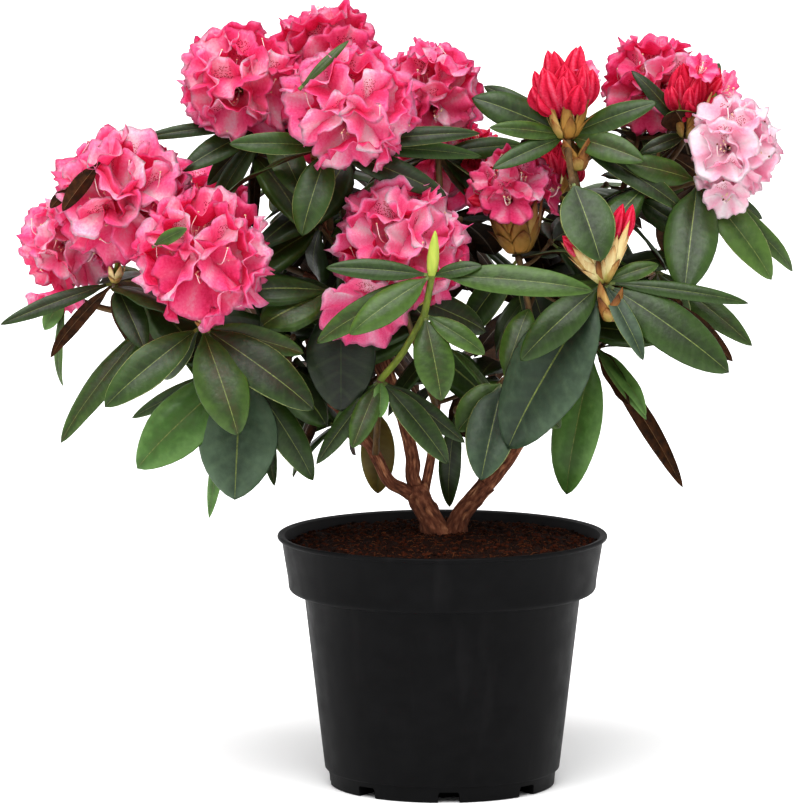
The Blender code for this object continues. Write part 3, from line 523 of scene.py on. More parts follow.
def leaf_back(name, dark, light):
    """The underside of a leaf: dull brown felt over olive."""
    s = Shader(name, 0.7, 0.14)
    patches = s.noise(60, 5)
    s.colour(s.ramp(patches, (0.3, dark), (0.7, light)))
    s.rough(s.spread(s.noise(300, 3), 0.55, 0.8))
    s.bump(s.noise(700, 4), 0.2 * MM, 0.5)
    return s.mat


def vein(name, dark, light):
    """A midrib, a little waxy."""
    s = Shader(name, 0.45)
    s.colour(s.ramp(s.noise(150, 2), (0.3, dark), (0.7, light)))
    s.rough(s.spread(s.noise(200, 2), 0.35, 0.55))
    return s.mat


def petal(name, pale, pink, deep, crimson, spot=None):
    """Blossom: a pale streak on each lobe, painted shade in the folds, freckled if there is a spot colour.
    """
    s = Shader(name, 0.6, 0.15)
    veins = s.noise(520, 2, s.place((1, 1, 0.4)))
    cloud = s.noise(110, 3)
    wander = s.add(s.spread(veins, -0.05, 0.05), s.spread(cloud, -0.1, 0.1))
    tint = s.ramp(s.add(s.attribute("shade"), wander),
                  (0.0, pale), (0.3, pink), (0.62, deep), (1.0, crimson))
    if spot:
        dots = s.node("ShaderNodeTexVoronoi", [("Vector", s.place())], scale=900.0).outputs["Distance"]
        tint = s.mix(s.spread(dots, 1, 0, 0.28, 0.46), tint, spot)
    s.colour(tint)
    s.rough(s.spread(cloud, 0.5, 0.72))
    s.bump(s.add(s.noise(900, 2), s.noise(260, 3)), 0.35 * MM, 0.5)
    s.glow(tint, 0.48)
    return s.mat


def plain_blend(name, dark, light, scale, rough, bump, specular=0.4, detail=4.0):
    """A finish of two tones in patches of one size, with its own grain."""
    s = Shader(name, rough, specular)
    s.colour(s.ramp(s.noise(scale, detail), (0.32, dark), (0.68, light)))
    s.rough(s.spread(s.noise(scale * 2.5, 3), rough - 0.08, rough + 0.08))
    s.bump(s.noise(scale * 4, 4), bump * MM, 0.6)
    return s.mat


def bark_material():
    """Reddish brown bark in long fibres, with tan streaks where it has peeled."""
    s = Shader("bark", 0.85, 0.25)
    grain = s.noise(1.0, 6, s.place((9, 160, 1), "UV"))
    patch = s.noise(1.0, 4, s.place((3.2, 40, 1), "UV"))
    brown = s.ramp(grain, (0.25, "331a11"), (0.5, "7a4833"), (0.72, "a87255"))
    peeled = s.ramp(grain, (0.3, "9c5a36"), (0.7, "d8a47c"))
    s.colour(s.mix(s.spread(patch, 0, 1, 0.54, 0.62), brown, peeled))
    s.rough(s.spread(grain, 0.7, 0.95))
    s.bump(s.add(grain, s.noise(700, 3)), 0.6 * MM, 0.9)
    return s.mat


def twig_material(name, dark, light):
    """Young wood: greenish, ringed with leaf scars."""
    s = Shader(name, 0.55, 0.35)
    scar = s.noise(1.0, 4, s.place((2, 90, 1), "UV"))
    s.colour(s.ramp(scar, (0.3, dark), (0.7, light)))
    s.rough(s.spread(scar, 0.45, 0.7))
    s.bump(s.noise(500, 4), 0.3 * MM, 0.7)
    return s.mat


def plastic_material():
    """Black moulded plastic, matt with a faint bloom and fine scuffs."""
    s = Shader("pot_plastic", 0.5, 0.07)
    scuff = s.noise(1.0, 6, s.place((60, 60, 9)))
    bloom = s.noise(14, 3)
    s.colour(s.mix(s.spread(scuff, 0, 0.5, 0.56, 0.8), s.ramp(bloom, (0.3, "0c0c0d"), (0.7, "121213")),
                   "212021"))
    s.rough(s.spread(s.add(scuff, bloom), 0.38, 0.6, 0.6, 1.4))
    s.bump(s.add(s.noise(1600, 2), scuff), 0.06 * MM, 0.6)
    return s.mat


def inner_plastic_material():
    """The pot's inner wall: the same plastic, painted a patchy grey that stands for the sheen of light on
    it.
    """
    s = Shader("pot_inside", 0.6, 0.2)
    sheen_patch = s.noise(1.0, 6, s.place((40, 40, 40)))
    s.colour(s.ramp(sheen_patch, (0.3, "28272a"), (0.6, "3a393b"), (0.8, "4e4743")))
    s.rough(s.spread(sheen_patch, 0.5, 0.75))
    s.bump(s.add(s.noise(1600, 2), sheen_patch), 0.08 * MM, 0.6)
    return s.mat


def soil_material():
    """Damp peat: near black, with reddish brown crumbs."""
    s = Shader("compost", 0.95, 0.15)
    s.colour(s.ramp(s.noise(420, 6), (0.34, "080402"), (0.52, "200c05"), (0.7, "44200f")))
    s.rough(s.spread(s.noise(300, 2), 0.85, 1.0))
    s.bump(s.noise(600, 6), 0.9 * MM, 1.0)
    return s.mat


# Meshes

class Batch:
    """Shapes of one kind, gathered so that they become one piece."""

    def __init__(self, materials):
        self.materials = materials
        self.verts, self.faces, self.slots, self.shades, self.coords = [], [], [], [], []
        self.count = 0

    def add(self, verts, faces, slot=0, shade=0.5, coords=None):
        """Adds vertices and arrays of faces; slot is a number, or one array for each array of faces."""
        total = len(verts)
        self.verts.append(np.asarray(verts, float).reshape(-1, 3))
        for k, part in enumerate(faces):
            part = np.asarray(part, int)
            self.faces.append(part + self.count)
            slots = slot[k] if isinstance(slot, (list, tuple)) else slot
            self.slots.append(np.broadcast_to(slots, len(part)))
        self.shades.append(np.broadcast_to(shade, total))
        self.coords.append(np.zeros((total, 2)) if coords is None else coords)
        self.count += total

    def tube(self, path, radii, sides, slot=0, relief=None, shade=0.5, mapped=True):
        """Adds a limb along a path, with texture coordinates if it is mapped."""
        verts, faces, coords = tube(path, radii, sides, relief)
        self.add(verts, faces, slot, shade, coords if mapped else None)

    def piece(self, name, slot_name, nodes=(), smooth=True):
        """Makes the piece, which rides on the plant's one body and stands for the named solids."""
        mesh = bpy.data.meshes.new(name)
        loops = np.concatenate([part.ravel() for part in self.faces])
        sizes = np.concatenate([np.full(len(part), part.shape[1]) for part in self.faces])
        mesh.vertices.add(self.count)
        mesh.vertices.foreach_set("co", np.concatenate(self.verts).ravel())
        mesh.loops.add(len(loops))
        mesh.loops.foreach_set("vertex_index", loops)
        mesh.polygons.add(len(sizes))
        mesh.polygons.foreach_set("loop_start", np.concatenate(([0], np.cumsum(sizes)[:-1])))
        mesh.polygons.foreach_set("material_index", np.concatenate(self.slots).astype(int))
        mesh.update(calc_edges=True)
        mesh.polygons.foreach_set("use_smooth", np.full(len(sizes), smooth))
        shade = mesh.attributes.new("shade", "FLOAT", "POINT")
        shade.data.foreach_set("value", np.concatenate(self.shades).astype(np.float32))
        layer = mesh.uv_layers.new(name="UVMap")
        layer.data.foreach_set("uv", np.concatenate(self.coords)[loops].astype(np.float32).ravel())
        for mat in self.materials:
            mesh.materials.append(mat)
        mesh.validate()
        return finished(placed(name, mesh), nodes)


def placed(name, data):
    """A new object, put in the scene."""
    ob = bpy.data.objects.new(name, data)
    bpy.context.scene.collection.objects.link(ob)
    return ob


def finished(ob, nodes):
    """Says of a piece which body it rides on and the solids it stands for."""
    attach(ob, "root")
    if nodes:
        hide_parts(*nodes)
    return ob


TURNED_OVER = [0, 3, 2, 1]


def grid_faces(rows, columns, closed=False):
    """Quads between rows of vertices; a closed row joins its ends."""
    across = columns if closed else columns - 1
    i, j = np.meshgrid(np.arange(rows - 1), np.arange(across), indexing="ij")
    i, j = i.ravel(), j.ravel()
    k = (j + 1) % columns
    return np.stack([i * columns + j, i * columns + k, (i + 1) * columns + k, (i + 1) * columns + j], 1)


def two_sides(rows, columns, closed=False):
    """Quads of a sheet and of its lining, which share the rim. The lining's own vertices come last."""
    quads = grid_faces(rows, columns, closed)
    lining = np.arange(rows * columns).reshape(rows, columns)
    inner = lining[1:-1] if closed else lining[1:-1, 1:-1]
    inner[...] = np.arange(inner.size).reshape(inner.shape) + rows * columns
    return quads, lining.ravel()[quads]


def distances(points):
    """How far along its path each point lies."""
    return np.concatenate(([0], np.cumsum(np.linalg.norm(np.diff(points, axis=0), axis=1))))


def frames_along(path):
    """Tangents and turned-as-little-as-possible side vectors along a path."""
    path = [Vector(p) for p in path]
    last = len(path) - 1
    along = [(path[min(i + 1, last)] - path[max(i - 1, 0)]).normalized() for i in range(len(path))]
    side = along[0].orthogonal().normalized()
    sides = []
    for forward in along:
        side = (side - side.dot(forward) * forward).normalized()
        sides.append(side)
    return np.array(along), np.array(sides)


def tube(path, radii, sides, relief=None):
    """A limb along a path with closed ends. relief gives each vertex's extra radius by ring and angle."""
    along, first = frames_along(path)
    second = np.cross(along, first)
    turn = 2 * math.pi * np.arange(sides) / sides
    centres = np.array([tuple(p) for p in path])
    radius = np.repeat(np.asarray(radii, float)[:, None], sides, 1)
    if relief is not None:
        radius = radius + relief
    rim = np.cos(turn)[None, :, None] * first[:, None] + np.sin(turn)[None, :, None] * second[:, None]
    rings = centres[:, None] + rim * radius[:, :, None]
    verts = np.concatenate([rings.reshape(-1, 3), centres[:1], centres[-1:]])
    rows = len(centres)
    j = np.arange(sides)
    k = (j + 1) % sides
    foot = np.stack([np.full(sides, rows * sides), k, j], 1)
    tip = np.stack([np.full(sides, rows * sides + 1), (rows - 1) * sides + j, (rows - 1) * sides + k], 1)
    travelled = distances(centres)
    around = np.abs(turn / math.pi - 1)
    coords = np.stack(np.broadcast_arrays(around[None], travelled[:, None]), 2).reshape(-1, 2)
    coords = np.concatenate([coords, [[0, travelled[0]], [0, travelled[-1]]]])
    return verts, [grid_faces(rows, sides, closed=True), foot, tip], coords


def smooth_path(points, steps):
    """A Catmull-Rom curve through the points, with a number of steps to each stretch."""
    ends = [2 * points[0] - points[1]] + points + [2 * points[-1] - points[-2]]
    path = [points[0]]
    for i in range(1, len(ends) - 2):
        a, b, c, d = ends[i - 1:i + 3]
        for k in range(1, steps + 1):
            t = k / steps
            path.append(0.5 * (2 * b + (c - a) * t + (2 * a - 5 * b + 4 * c - d) * t * t
                               + (3 * b - a - 3 * c + d) * t ** 3))
    return path


def turned(profile, sides):
    """A closed solid of revolution. The profile runs from the axis, round the outside, to the axis."""
    rings = np.array(profile[1:-1])
    turn = 2 * math.pi * np.arange(sides) / sides
    rim = np.stack([np.cos(turn), np.sin(turn)], 1)
    flat = rings[:, None, :1] * rim[None]
    high = np.broadcast_to(rings[:, None, 1:], (len(rings), sides, 1))
    verts = np.concatenate([flat, high], 2).reshape(-1, 3)
    low = len(verts)
    verts = np.concatenate([verts, [[0, 0, profile[0][1]], [0, 0, profile[-1][1]]]])
    j = np.arange(sides)
    k = (j + 1) % sides
    top = (len(rings) - 1) * sides
    return verts, [grid_faces(len(rings), sides, closed=True), np.stack([np.full(sides, low), k, j], 1),
                   np.stack([np.full(sides, low + 1), top + j, top + k], 1)]


# Pot and soil

def arc(centre, radius, start, end, steps):
    """Points of a quarter or part turn, as (radius, height)."""
    turns = [math.radians(start + (end - start) * i / steps) for i in range(steps + 1)]
    return [(centre[0] + radius * math.cos(a), centre[1] + radius * math.sin(a)) for a in turns]


def pot_profile():
    """Outer wall with foot step, rounded collar and rolled lip, then the inner wall down to the floor."""
    shoulder = COLLAR_FOOT - COLLAR_ROUND
    corner = 4 * MM
    lip = 1.6 * MM
    lip_centre = (LIP_RADIUS - lip, POT_HEIGHT - lip)
    outside = [(0, 0), (FOOT_BASE_RADIUS - MM, 0), (FOOT_BASE_RADIUS, 0.6 * MM),
               (FOOT_RADIUS, FOOT_HEIGHT - 1.2 * MM), (FOOT_RADIUS + 0.6 * MM, FOOT_HEIGHT - 0.5 * MM),
               (BODY_LOW_RADIUS - 0.4 * MM, FOOT_HEIGHT), (BODY_LOW_RADIUS, FOOT_HEIGHT + 0.7 * MM)]
    outside += [(BODY_LOW_RADIUS + t * (BODY_TOP_RADIUS - BODY_LOW_RADIUS),
                 FOOT_HEIGHT + t * (shoulder - FOOT_HEIGHT)) for t in (0.25, 0.5, 0.75, 0.985)]
    outside += [(BODY_TOP_RADIUS + 1.2 * MM, shoulder)]
    outside += arc((COLLAR_LOW_RADIUS - corner, shoulder + corner), corner, -88, 0, 6)
    outside += [(COLLAR_LOW_RADIUS + 0.4 * MM, COLLAR_FOOT + 3 * MM),
                (COLLAR_TOP_RADIUS - 0.3 * MM, POT_HEIGHT - 4.6 * MM),
                (COLLAR_TOP_RADIUS + 0.4 * MM, POT_HEIGHT - 3.5 * MM)]
    outside += arc(lip_centre, lip, -80, 110, 9)
    inside = [(COLLAR_TOP_RADIUS - WALL, POT_HEIGHT - 0.9 * MM),
              (COLLAR_TOP_RADIUS - WALL - 0.5 * MM, POT_HEIGHT - 3 * MM),
              (COLLAR_LOW_RADIUS - WALL, COLLAR_FOOT + COLLAR_ROUND / 2),
              (COLLAR_LOW_RADIUS - WALL - COLLAR_ROUND / 2, shoulder + WALL),
              (BODY_TOP_RADIUS - WALL, shoulder + WALL), (BODY_LOW_RADIUS - WALL, FOOT_HEIGHT + WALL),
              (FOOT_RADIUS - WALL, POT_FLOOR), (0, POT_FLOOR)]
    return outside + inside


def notch_cutter(angle):
    """A drain channel with round cheeks, cut into the foot's edge from below."""
    reach = FOOT_RADIUS - NOTCH_DEPTH / 2 + MM
    outline = []
    for side, steps in ((1, range(5)), (-1, range(4, -1, -1))):
        for k in steps:
            t = k / 4
            outline.append(Vector((NOTCH_DEPTH * (0.5 - t), side * NOTCH_WIDTH / 2 * (1 + 0.55 * t), 0)))
    rings = []
    for height, inset in ((-3 * MM, 0), (NOTCH_HEIGHT - 1.5 * MM, 0), (NOTCH_HEIGHT, 1.4 * MM)):
        for v in outline:
            pull = v.normalized() * inset
            rings.append(Vector((v.x - pull.x, v.y - pull.y, height)))
    count = len(outline)
    turn = Matrix.Rotation(angle, 4, "Z") @ Matrix.Translation((reach, 0, 0))
    verts = [tuple(turn @ v) for v in rings]
    faces = [tuple(range(count - 1, -1, -1)), tuple(range(2 * count, 3 * count))]
    faces += [tuple(int(i) for i in face) for face in grid_faces(3, count, closed=True)]
    mesh = bpy.data.meshes.new("notch")
    mesh.from_pydata(verts, [], faces)
    return placed("notch", mesh)


def make_pot():
    batch = Batch([plastic_material(), inner_plastic_material()])
    verts, faces = turned(pot_profile(), POT_SIDES)
    row = np.arange(len(faces[0])) // POT_SIDES
    # The inner wall and floor take the patchy grey of painted sheen
    batch.add(verts, faces, slot=[(row > row.max() - INNER_RINGS).astype(int), 0, 1])
    ob = batch.piece("pot_shell", "pot_plastic", ["pot"])
    for i in range(NOTCHES):
        cutter = notch_cutter(NOTCH_TURN + math.radians(-90) + 2 * math.pi * i / NOTCHES)
        cut = ob.modifiers.new("notch", "BOOLEAN")
        cut.operation = "DIFFERENCE"
        cut.object = cutter
        graph = bpy.context.evaluated_depsgraph_get()
        graph.update()
        mesh = bpy.data.meshes.new_from_object(ob.evaluated_get(graph))
        ob.modifiers.clear()
        ob.data = mesh
        bpy.data.objects.remove(cutter, do_unlink=True)
    ob.data.set_sharp_from_angle(angle=math.radians(40))
    return ob


def soil_height(x, y):
    """The mounded, crumbled surface of the compost."""
    t = min(1, math.hypot(x, y) / (COLLAR_TOP_RADIUS - WALL - 2 * MM))
    fall = max(0, t - MOUND_FLAT) / (1 - MOUND_FLAT)
    mound = SOIL_EDGE + (SOIL_TOP - SOIL_EDGE) * math.sin((1 - fall) * math.pi / 2)
    lumps = sum(noise.noise(Vector((x, y, layer)) * scale) * height for layer, scale, height in SOIL_LUMPS)
    return mound + lumps * MM


def make_soil():
    """A crumbled top over the root ball, strewn with crumbs and coconut fibres."""
    batch = Batch([soil_material(), plain_blend("peat_crumb", "0e0603", "5a2a16", 300, 0.9, 0.5, 0.1),
                   plain_blend("fibre", "3a1a0b", "8a5430", 200, 0.85, 0.2, 0.15)])
    profile = [(0, POT_FLOOR + 0.4 * MM), (FOOT_RADIUS - WALL - MM, POT_FLOOR + 0.4 * MM),
               (BODY_TOP_RADIUS - WALL - MM, COLLAR_FOOT - COLLAR_ROUND - MM),
               (COLLAR_LOW_RADIUS - WALL - 4 * MM, COLLAR_FOOT),
               (SOIL_RADIUS, SOIL_EDGE - 4 * MM)]
    profile += [(SOIL_RADIUS * (1 - k / SOIL_RINGS), SOIL_EDGE) for k in range(SOIL_RINGS)]
    verts, faces = turned(profile + [(0, SOIL_EDGE)], SOIL_SIDES)
    top = verts[:, 2] > SOIL_EDGE - MM
    for i in np.flatnonzero(top):
        verts[i, 2] = soil_height(verts[i, 0], verts[i, 1])
    batch.add(verts, faces)
    rng = random.Random("soil")
    for _ in range(CRUMBS):
        crumb(batch, rng, SOIL_RADIUS - 2 * MM)
    for _ in range(FIBRES):
        fibre(batch, rng, SOIL_RADIUS - 3 * MM)
    return batch.piece("compost", "compost", ["soil"])


def spot_on_soil(rng, reach):
    radius, angle = reach * math.sqrt(rng.random()), rng.uniform(0, 2 * math.pi)
    x, y = radius * math.cos(angle), radius * math.sin(angle)
    return Vector((x, y, soil_height(x, y)))


def crumb(batch, rng, reach):
    size = rng.uniform(*CRUMB_SIZES) * MM * rng.uniform(0.6, 1)
    place = spot_on_soil(rng, reach)
    lift = Vector((rng.uniform(-1, 1), rng.uniform(-1, 1), rng.uniform(0.2, 1))) * size
    path = [place - lift, place - lift * 0.3, place + lift * 0.4, place + lift]
    batch.tube(path, [size * f for f in (0.4, 1, 0.9, 0.3)], 5, rng.choice((0, 1, 1)), mapped=False)


def fibre(batch, rng, reach):
    place = spot_on_soil(rng, reach) + UP * 0.5 * MM
    heading = rng.uniform(0, 2 * math.pi)
    run = Vector((math.cos(heading), math.sin(heading), rng.uniform(-0.1, 0.6)))
    run = run * rng.uniform(*FIBRE_LENGTHS) * MM
    bend = Vector((rng.uniform(-1, 1), rng.uniform(-1, 1), rng.uniform(0, 0.8))) * run.length * 0.25
    path = [place - run / 2, place + bend, place + run / 2]
    width = rng.uniform(*FIBRE_WIDTHS) * MM
    batch.tube(path, [width, width, width * 0.5], 3, rng.choice((1, 2, 2)), mapped=False)


# Wood

class Limb:
    """A limb's centre line, from which its branches leave."""

    def __init__(self, path):
        self.path = path

    def at(self, share):
        k = share * (len(self.path) - 1)
        i = min(int(k), len(self.path) - 2)
        return self.path[i].lerp(self.path[i + 1], k - i)

    def leave(self, share, target):
        """Where a branch starts, sunk a little into this limb's bark, and the way it sets out."""
        if share == 1:
            forward = (self.path[-1] - self.path[-2]).normalized()
            return self.path[-1] - forward * BRANCH_SINK * MM, forward
        place = self.at(share)
        return place, (target - place).normalized()


def bark_relief(path, radii, sides, seed):
    """Long fibres and shallow strips, with a knob here and there."""
    def wave(x, y, kind, shift):
        return noise.noise(Vector((x * kind[0], y * kind[0], travelled * kind[1] + shift)))

    relief = np.zeros((len(path), sides))
    travelled = 0
    for i, place in enumerate(path):
        if i:
            travelled += (place - path[i - 1]).length
        for j in range(sides):
            a = 2 * math.pi * j / sides
            x, y = math.cos(a), math.sin(a)
            strip = wave(x, y, BARK_STRIPS, seed)
            fine = wave(x, y, BARK_FIBRES, seed)
            lump = max(0, wave(x, y, BARK_LUMPS, seed * 3) - LUMP_START)
            height = BARK_STRIPS[2] * strip + BARK_FIBRES[2] * fine + BARK_LUMPS[2] * lump
            relief[i, j] = radii[i] * height
    return relief


def resampled(path, radii, pitch):
    """The same limb with rings at an even pitch."""
    points = np.array([tuple(p) for p in path])
    travelled = distances(points)
    count = max(4, int(travelled[-1] / pitch) + 1)
    marks = np.linspace(0, travelled[-1], count)
    even = np.stack([np.interp(marks, travelled, points[:, k]) for k in range(3)], 1)
    return [Vector(p) for p in even], np.interp(marks, travelled, radii)


def add_wood(batch, path, radii, sides, pitch, seed, slot=0):
    path, radii = resampled(path, radii, pitch)
    batch.tube(path, radii, sides, slot, bark_relief(path, radii, sides, seed))


def grow_trunk(batch, limbs):
    """Two arms from one flared foot, each tapering to where its boughs leave."""
    for k, (name, stations) in enumerate(TRUNK_ARMS.items()):
        points = [vec(place) for place, _ in stations]
        path = smooth_path(points, CURVE_STEPS)
        radii = np.interp(np.arange(len(path)) / CURVE_STEPS, range(len(stations)),
                          [r * MM for _, r in stations])
        limbs[name] = Limb(smooth_path(points, LIMB_STEPS))
        foot = [path[0] - UP * FOOT_SINK] + path
        foot_radii = np.concatenate(([radii[0] * FOOT_FLARE[0]], radii))
        foot_radii[1] *= FOOT_FLARE[1]
        add_wood(batch, foot, foot_radii, TRUNK_SIDES, TRUNK_PITCH, TRUNK_SEED_STEP * k)


def grow_boughs(batch, limbs):
    for k, (name, spec) in enumerate(BOUGHS.items()):
        points = [vec(p) for p in spec.path]
        foot, tip = (r * MM for r in spec.radii)
        start, heading = limbs[spec.parent].leave(spec.at, points[0])
        out = start + heading * foot * (2 if spec.at == 1 else 3.5)
        path = [start] + smooth_path([out] + points, CURVE_STEPS)
        radii = np.linspace(foot * 1.06, tip, len(path))
        limbs[name] = Limb([start] + smooth_path([out] + points, LIMB_STEPS))
        add_wood(batch, path, radii, BOUGH_SIDES, BOUGH_PITCH, BOUGH_SEED + BOUGH_SEED_STEP * k)


# Leaves

def upper_side(run, facing):
    """The way a leaf's upper side looks: up and outwards, turned to the front by facing."""
    level = Vector((run.x, run.y, 0))
    level = level.normalized() if level.length > MM else FRONT
    slope = math.atan2(run.z, Vector((run.x, run.y)).length)
    natural = math.cos(slope) * UP - math.sin(slope) * level
    look = (1 - abs(facing)) * natural + facing * FRONT
    forward = run.normalized()
    look -= look.dot(forward) * forward
    return look.normalized()


FINE_LEAF = 16, np.array([-1, -0.955, -0.72, -0.4, -0.12, -0.022, 0.022, 0.12, 0.4, 0.72, 0.955, 1])
PLAIN_LEAF = 9, np.array([-1, -0.6, -0.04, 0.04, 0.6, 1])


def leaf_half_width(t, width):
    """Half the blade's width at a share of its length: a short stalk, then long oval to a blunt tip."""
    share = np.clip((t - PETIOLE_SHARE) / (1 - PETIOLE_SHARE), 0, 1)
    blade = width / 2 * share ** BLADE_RISE * (1 - share) ** BLADE_FALL / BLADE_PEAK
    return np.maximum(blade, PETIOLE * 0.75 * (1 - t) ** 0.5 + 0.15 * MM)


def add_leaf(batch, base, run, width, facing, rng, tone, detail=FINE_LEAF):
    """A blade folded along its midrib, rolled under at its edges and arched along its run."""
    rows, columns = detail
    forward = run.normalized()
    up = upper_side(run, facing)
    side = np.array(up.cross(forward))
    length = run.length
    start, reach = np.array(base), np.array(run)
    crest = start + reach / 2 + np.array(up) * LEAF_ARCH * length
    even = np.linspace(0, 1, rows)[:, None]
    t = 0.35 * even + 0.65 * (1 - np.cos(math.pi * even)) / 2
    middle = (1 - t) ** 2 * start + 2 * t * (1 - t) * crest + t * t * (start + reach)
    tangent = 2 * (1 - t) * (crest - start) + 2 * t * (start + reach - crest)
    tangent /= np.linalg.norm(tangent, axis=1)[:, None]
    above = np.cross(tangent, side)
    half = leaf_half_width(t[:, 0], width)[:, None, None]
    u = columns[None, :, None]
    along = t[:, :, None]
    fold, roll = rng.uniform(*BLADE_FOLD), rng.uniform(*BLADE_ROLL)
    wave, phase = rng.uniform(*BLADE_WAVE), rng.uniform(0, 6)
    twist = rng.uniform(-BLADE_TWIST, BLADE_TWIST) * along
    lift = fold * np.abs(u) - roll * np.abs(u) ** 3 + 0.5 * twist * u
    lift = lift + wave * u * u * np.sin(2 * math.pi * 2.3 * along + phase + np.sign(u))
    hook = -rng.uniform(0.0, TIP_HOOK) * length * np.clip(along - 0.7, 0, 1) ** 2 * 11
    top = middle[:, None] + side * half * u + above[:, None] * (half * lift + hook)
    keel = np.where(np.abs(u) < 0.1, RIB_THICK, BLADE_THICK) * (1 - 0.6 * along) + 0.1 * MM
    below = top - above[:, None] * keel
    across = len(columns)
    verts = np.concatenate([top.reshape(-1, 3), below[1:-1, 1:-1].reshape(-1, 3)])
    over, under = two_sides(rows, across)
    strip = np.tile(np.arange(across - 1), rows - 1)
    rib = strip == across // 2 - 1
    rim = (strip == 0) | (strip == across - 2)
    stalk = np.repeat(np.arange(rows - 1), across - 1) < rows // 8
    # A leaf in the deep tone, which is painted shade, gets a dark midrib as well
    rib_slot = LEAF_SLOTS["dark" if tone == "deep" else "rib"]
    top_slot = np.where(rib | stalk, rib_slot, LEAF_SLOTS[tone])
    # A pale rim strip on some leaves paints the highlight on the rolled edge
    if detail is FINE_LEAF and rng.random() < MARGIN_HIGHLIGHT_SHARE:
        top_slot = np.where(rim & ~stalk, LEAF_SLOTS["margin"], top_slot)
    under_slot = np.where(rib, LEAF_SLOTS["under_rib"], LEAF_SLOTS["under"])
    bright = rng.uniform(-0.25, 0.25)
    shade_top = np.broadcast_to(np.abs(columns)[None] * 0.55 + 0.22 + 0.1 * t + bright, (rows, across))
    shade = np.concatenate([shade_top.ravel(), np.full((rows - 2) * (across - 2), 0.5)])
    v = t * length / width * 3 - np.abs(columns)[None] * 0.7
    coords = np.stack(np.broadcast_arrays(columns[None] * 0.5 + 0.5, v), 2).reshape(-1, 2)
    coords = np.concatenate([coords, coords.reshape(rows, across, 2)[1:-1, 1:-1].reshape(-1, 2)])
    batch.add(verts, [over, under[:, TURNED_OVER]], slot=[top_slot, under_slot], shade=shade, coords=coords)


# The deep slot is a near-black copy of the leaf colours: painted shade
LEAF_SLOTS = {"dark": 0, "mid": 1, "light": 2, "grey": 3, "rib": 4, "under": 5, "under_rib": 6, "margin": 7,
              "olive": 8, "deep": 9}


def leaf_materials():
    return [
        leaf_top("leaf_dark", "28230f", "1c2a0b", "314a17", 0.36),
        leaf_top("leaf_mid", "3a3414", "2a3e10", "486424", 0.36),
        leaf_top("leaf_light", "3d5520", "426528", "688e48", 0.38),
        leaf_top("leaf_grey", "202f20", "2b3d2a", "4b6048", 0.42),
        vein("leaf_rib", "465524", "727e3c"),
        leaf_back("leaf_underside", "241509", "4c2d15"),
        vein("leaf_under_rib", "5c4022", "7f5f36"),
        # The pale rim line, a painted highlight on the rolled leaf edge
        vein("leaf_margin_highlight", "54622f", "8c9459"),
        leaf_top("leaf_olive", "4a3a14", "5a4a1c", "7a6a2c", 0.42),
        # A near-black copy of the leaf colours, painted shade for leaves deep in the crown
        leaf_top("leaf_painted_shade", "150f08", "0e1609", "1a2810", 0.36),
    ]


def shown_leaves(whorl):
    """The leaves that are given tip by tip, as (run, width, facing)."""
    return [(vec(row[:3]), row[3] * MM, row[4] if len(row) == 5 else FACING) for row in whorl.leaves]


def seeded_leaves(fill, shown, place, seed, lengths, widths):
    """More leaves round the whorl, at golden angles, drooping and away from those that show."""
    rng = random.Random(seed)
    shown = list(shown)
    out = Vector((place.x, place.y, 0))
    leaves = []
    for i in range(8 * fill):
        if len(leaves) == fill:
            break
        heading = i * GOLDEN + rng.uniform(-0.2, 0.2)
        droop = math.radians(rng.uniform(*DROOPS))
        run = Vector((math.cos(heading) * math.cos(droop), math.sin(heading) * math.cos(droop),
                      -math.sin(droop))) * rng.uniform(*lengths) * MM
        inward = run.dot(out) < -0.6 * run.length * out.length
        crowded = any(run.angle(other) < math.radians(LEAVES_APART) for other in shown)
        in_view = run.y < -0.5 * run.length and place.y < 60 * MM
        stands_out = not (in_outline(place + run * 0.6) and in_outline(place + run))
        if not (inward or crowded or in_view or stands_out):
            leaves.append((run, rng.uniform(*widths) * MM, 0.0))
            shown.append(run)
    return leaves


def tip_finder(node):
    """Finds whether the solid of a mass has a corner at a place."""
    verts = NODES[node].data.vertices
    tree = KDTree(len(verts))
    for i, v in enumerate(verts):
        tree.insert(v.co, i)
    tree.balance()
    return lambda place: tree.find(place)[2] < TIP_FOUND


def as_in_solid(has_tip, place, run):
    """The run as the solid has it, which may be turned a little, or None if it was left out there."""
    for turn in TURNS:
        turned_run = Matrix.Rotation(math.radians(turn), 3, FRONT) @ run
        if has_tip(place + turned_run):
            return turned_run
    return None


def test_blade(base, run, width, facing):
    """A thin stand-in for a leaf, to test whether it is free."""
    forward = run.normalized()
    up = upper_side(run, facing)
    side = up.cross(forward)
    crest = base + run / 2 + up * LEAF_ARCH * run.length
    points = []
    for t in (0.12, 0.42, 0.76):
        middle = (1 - t) ** 2 * base + 2 * t * (1 - t) * crest + t * t * (base + run)
        half = width / 2 * (0.3 if t < 0.2 else 1)
        points += [middle - side * half, middle + side * half]
    points.append(base + run)
    faces = [(0, 1, 3, 2), (2, 3, 5, 4), (4, 5, 6)]
    return points, faces


def in_crown(place):
    return all(low * MM <= x <= high * MM for x, low, high in zip(place, CROWN_LOW, CROWN_HIGH))


def tree_of(shape, margin=0.0):
    """A search tree of a shape's faces, each counted as thicker by a margin."""
    verts, faces = shape
    return BVHTree.FromPolygons([tuple(v) for v in verts], faces, epsilon=margin)


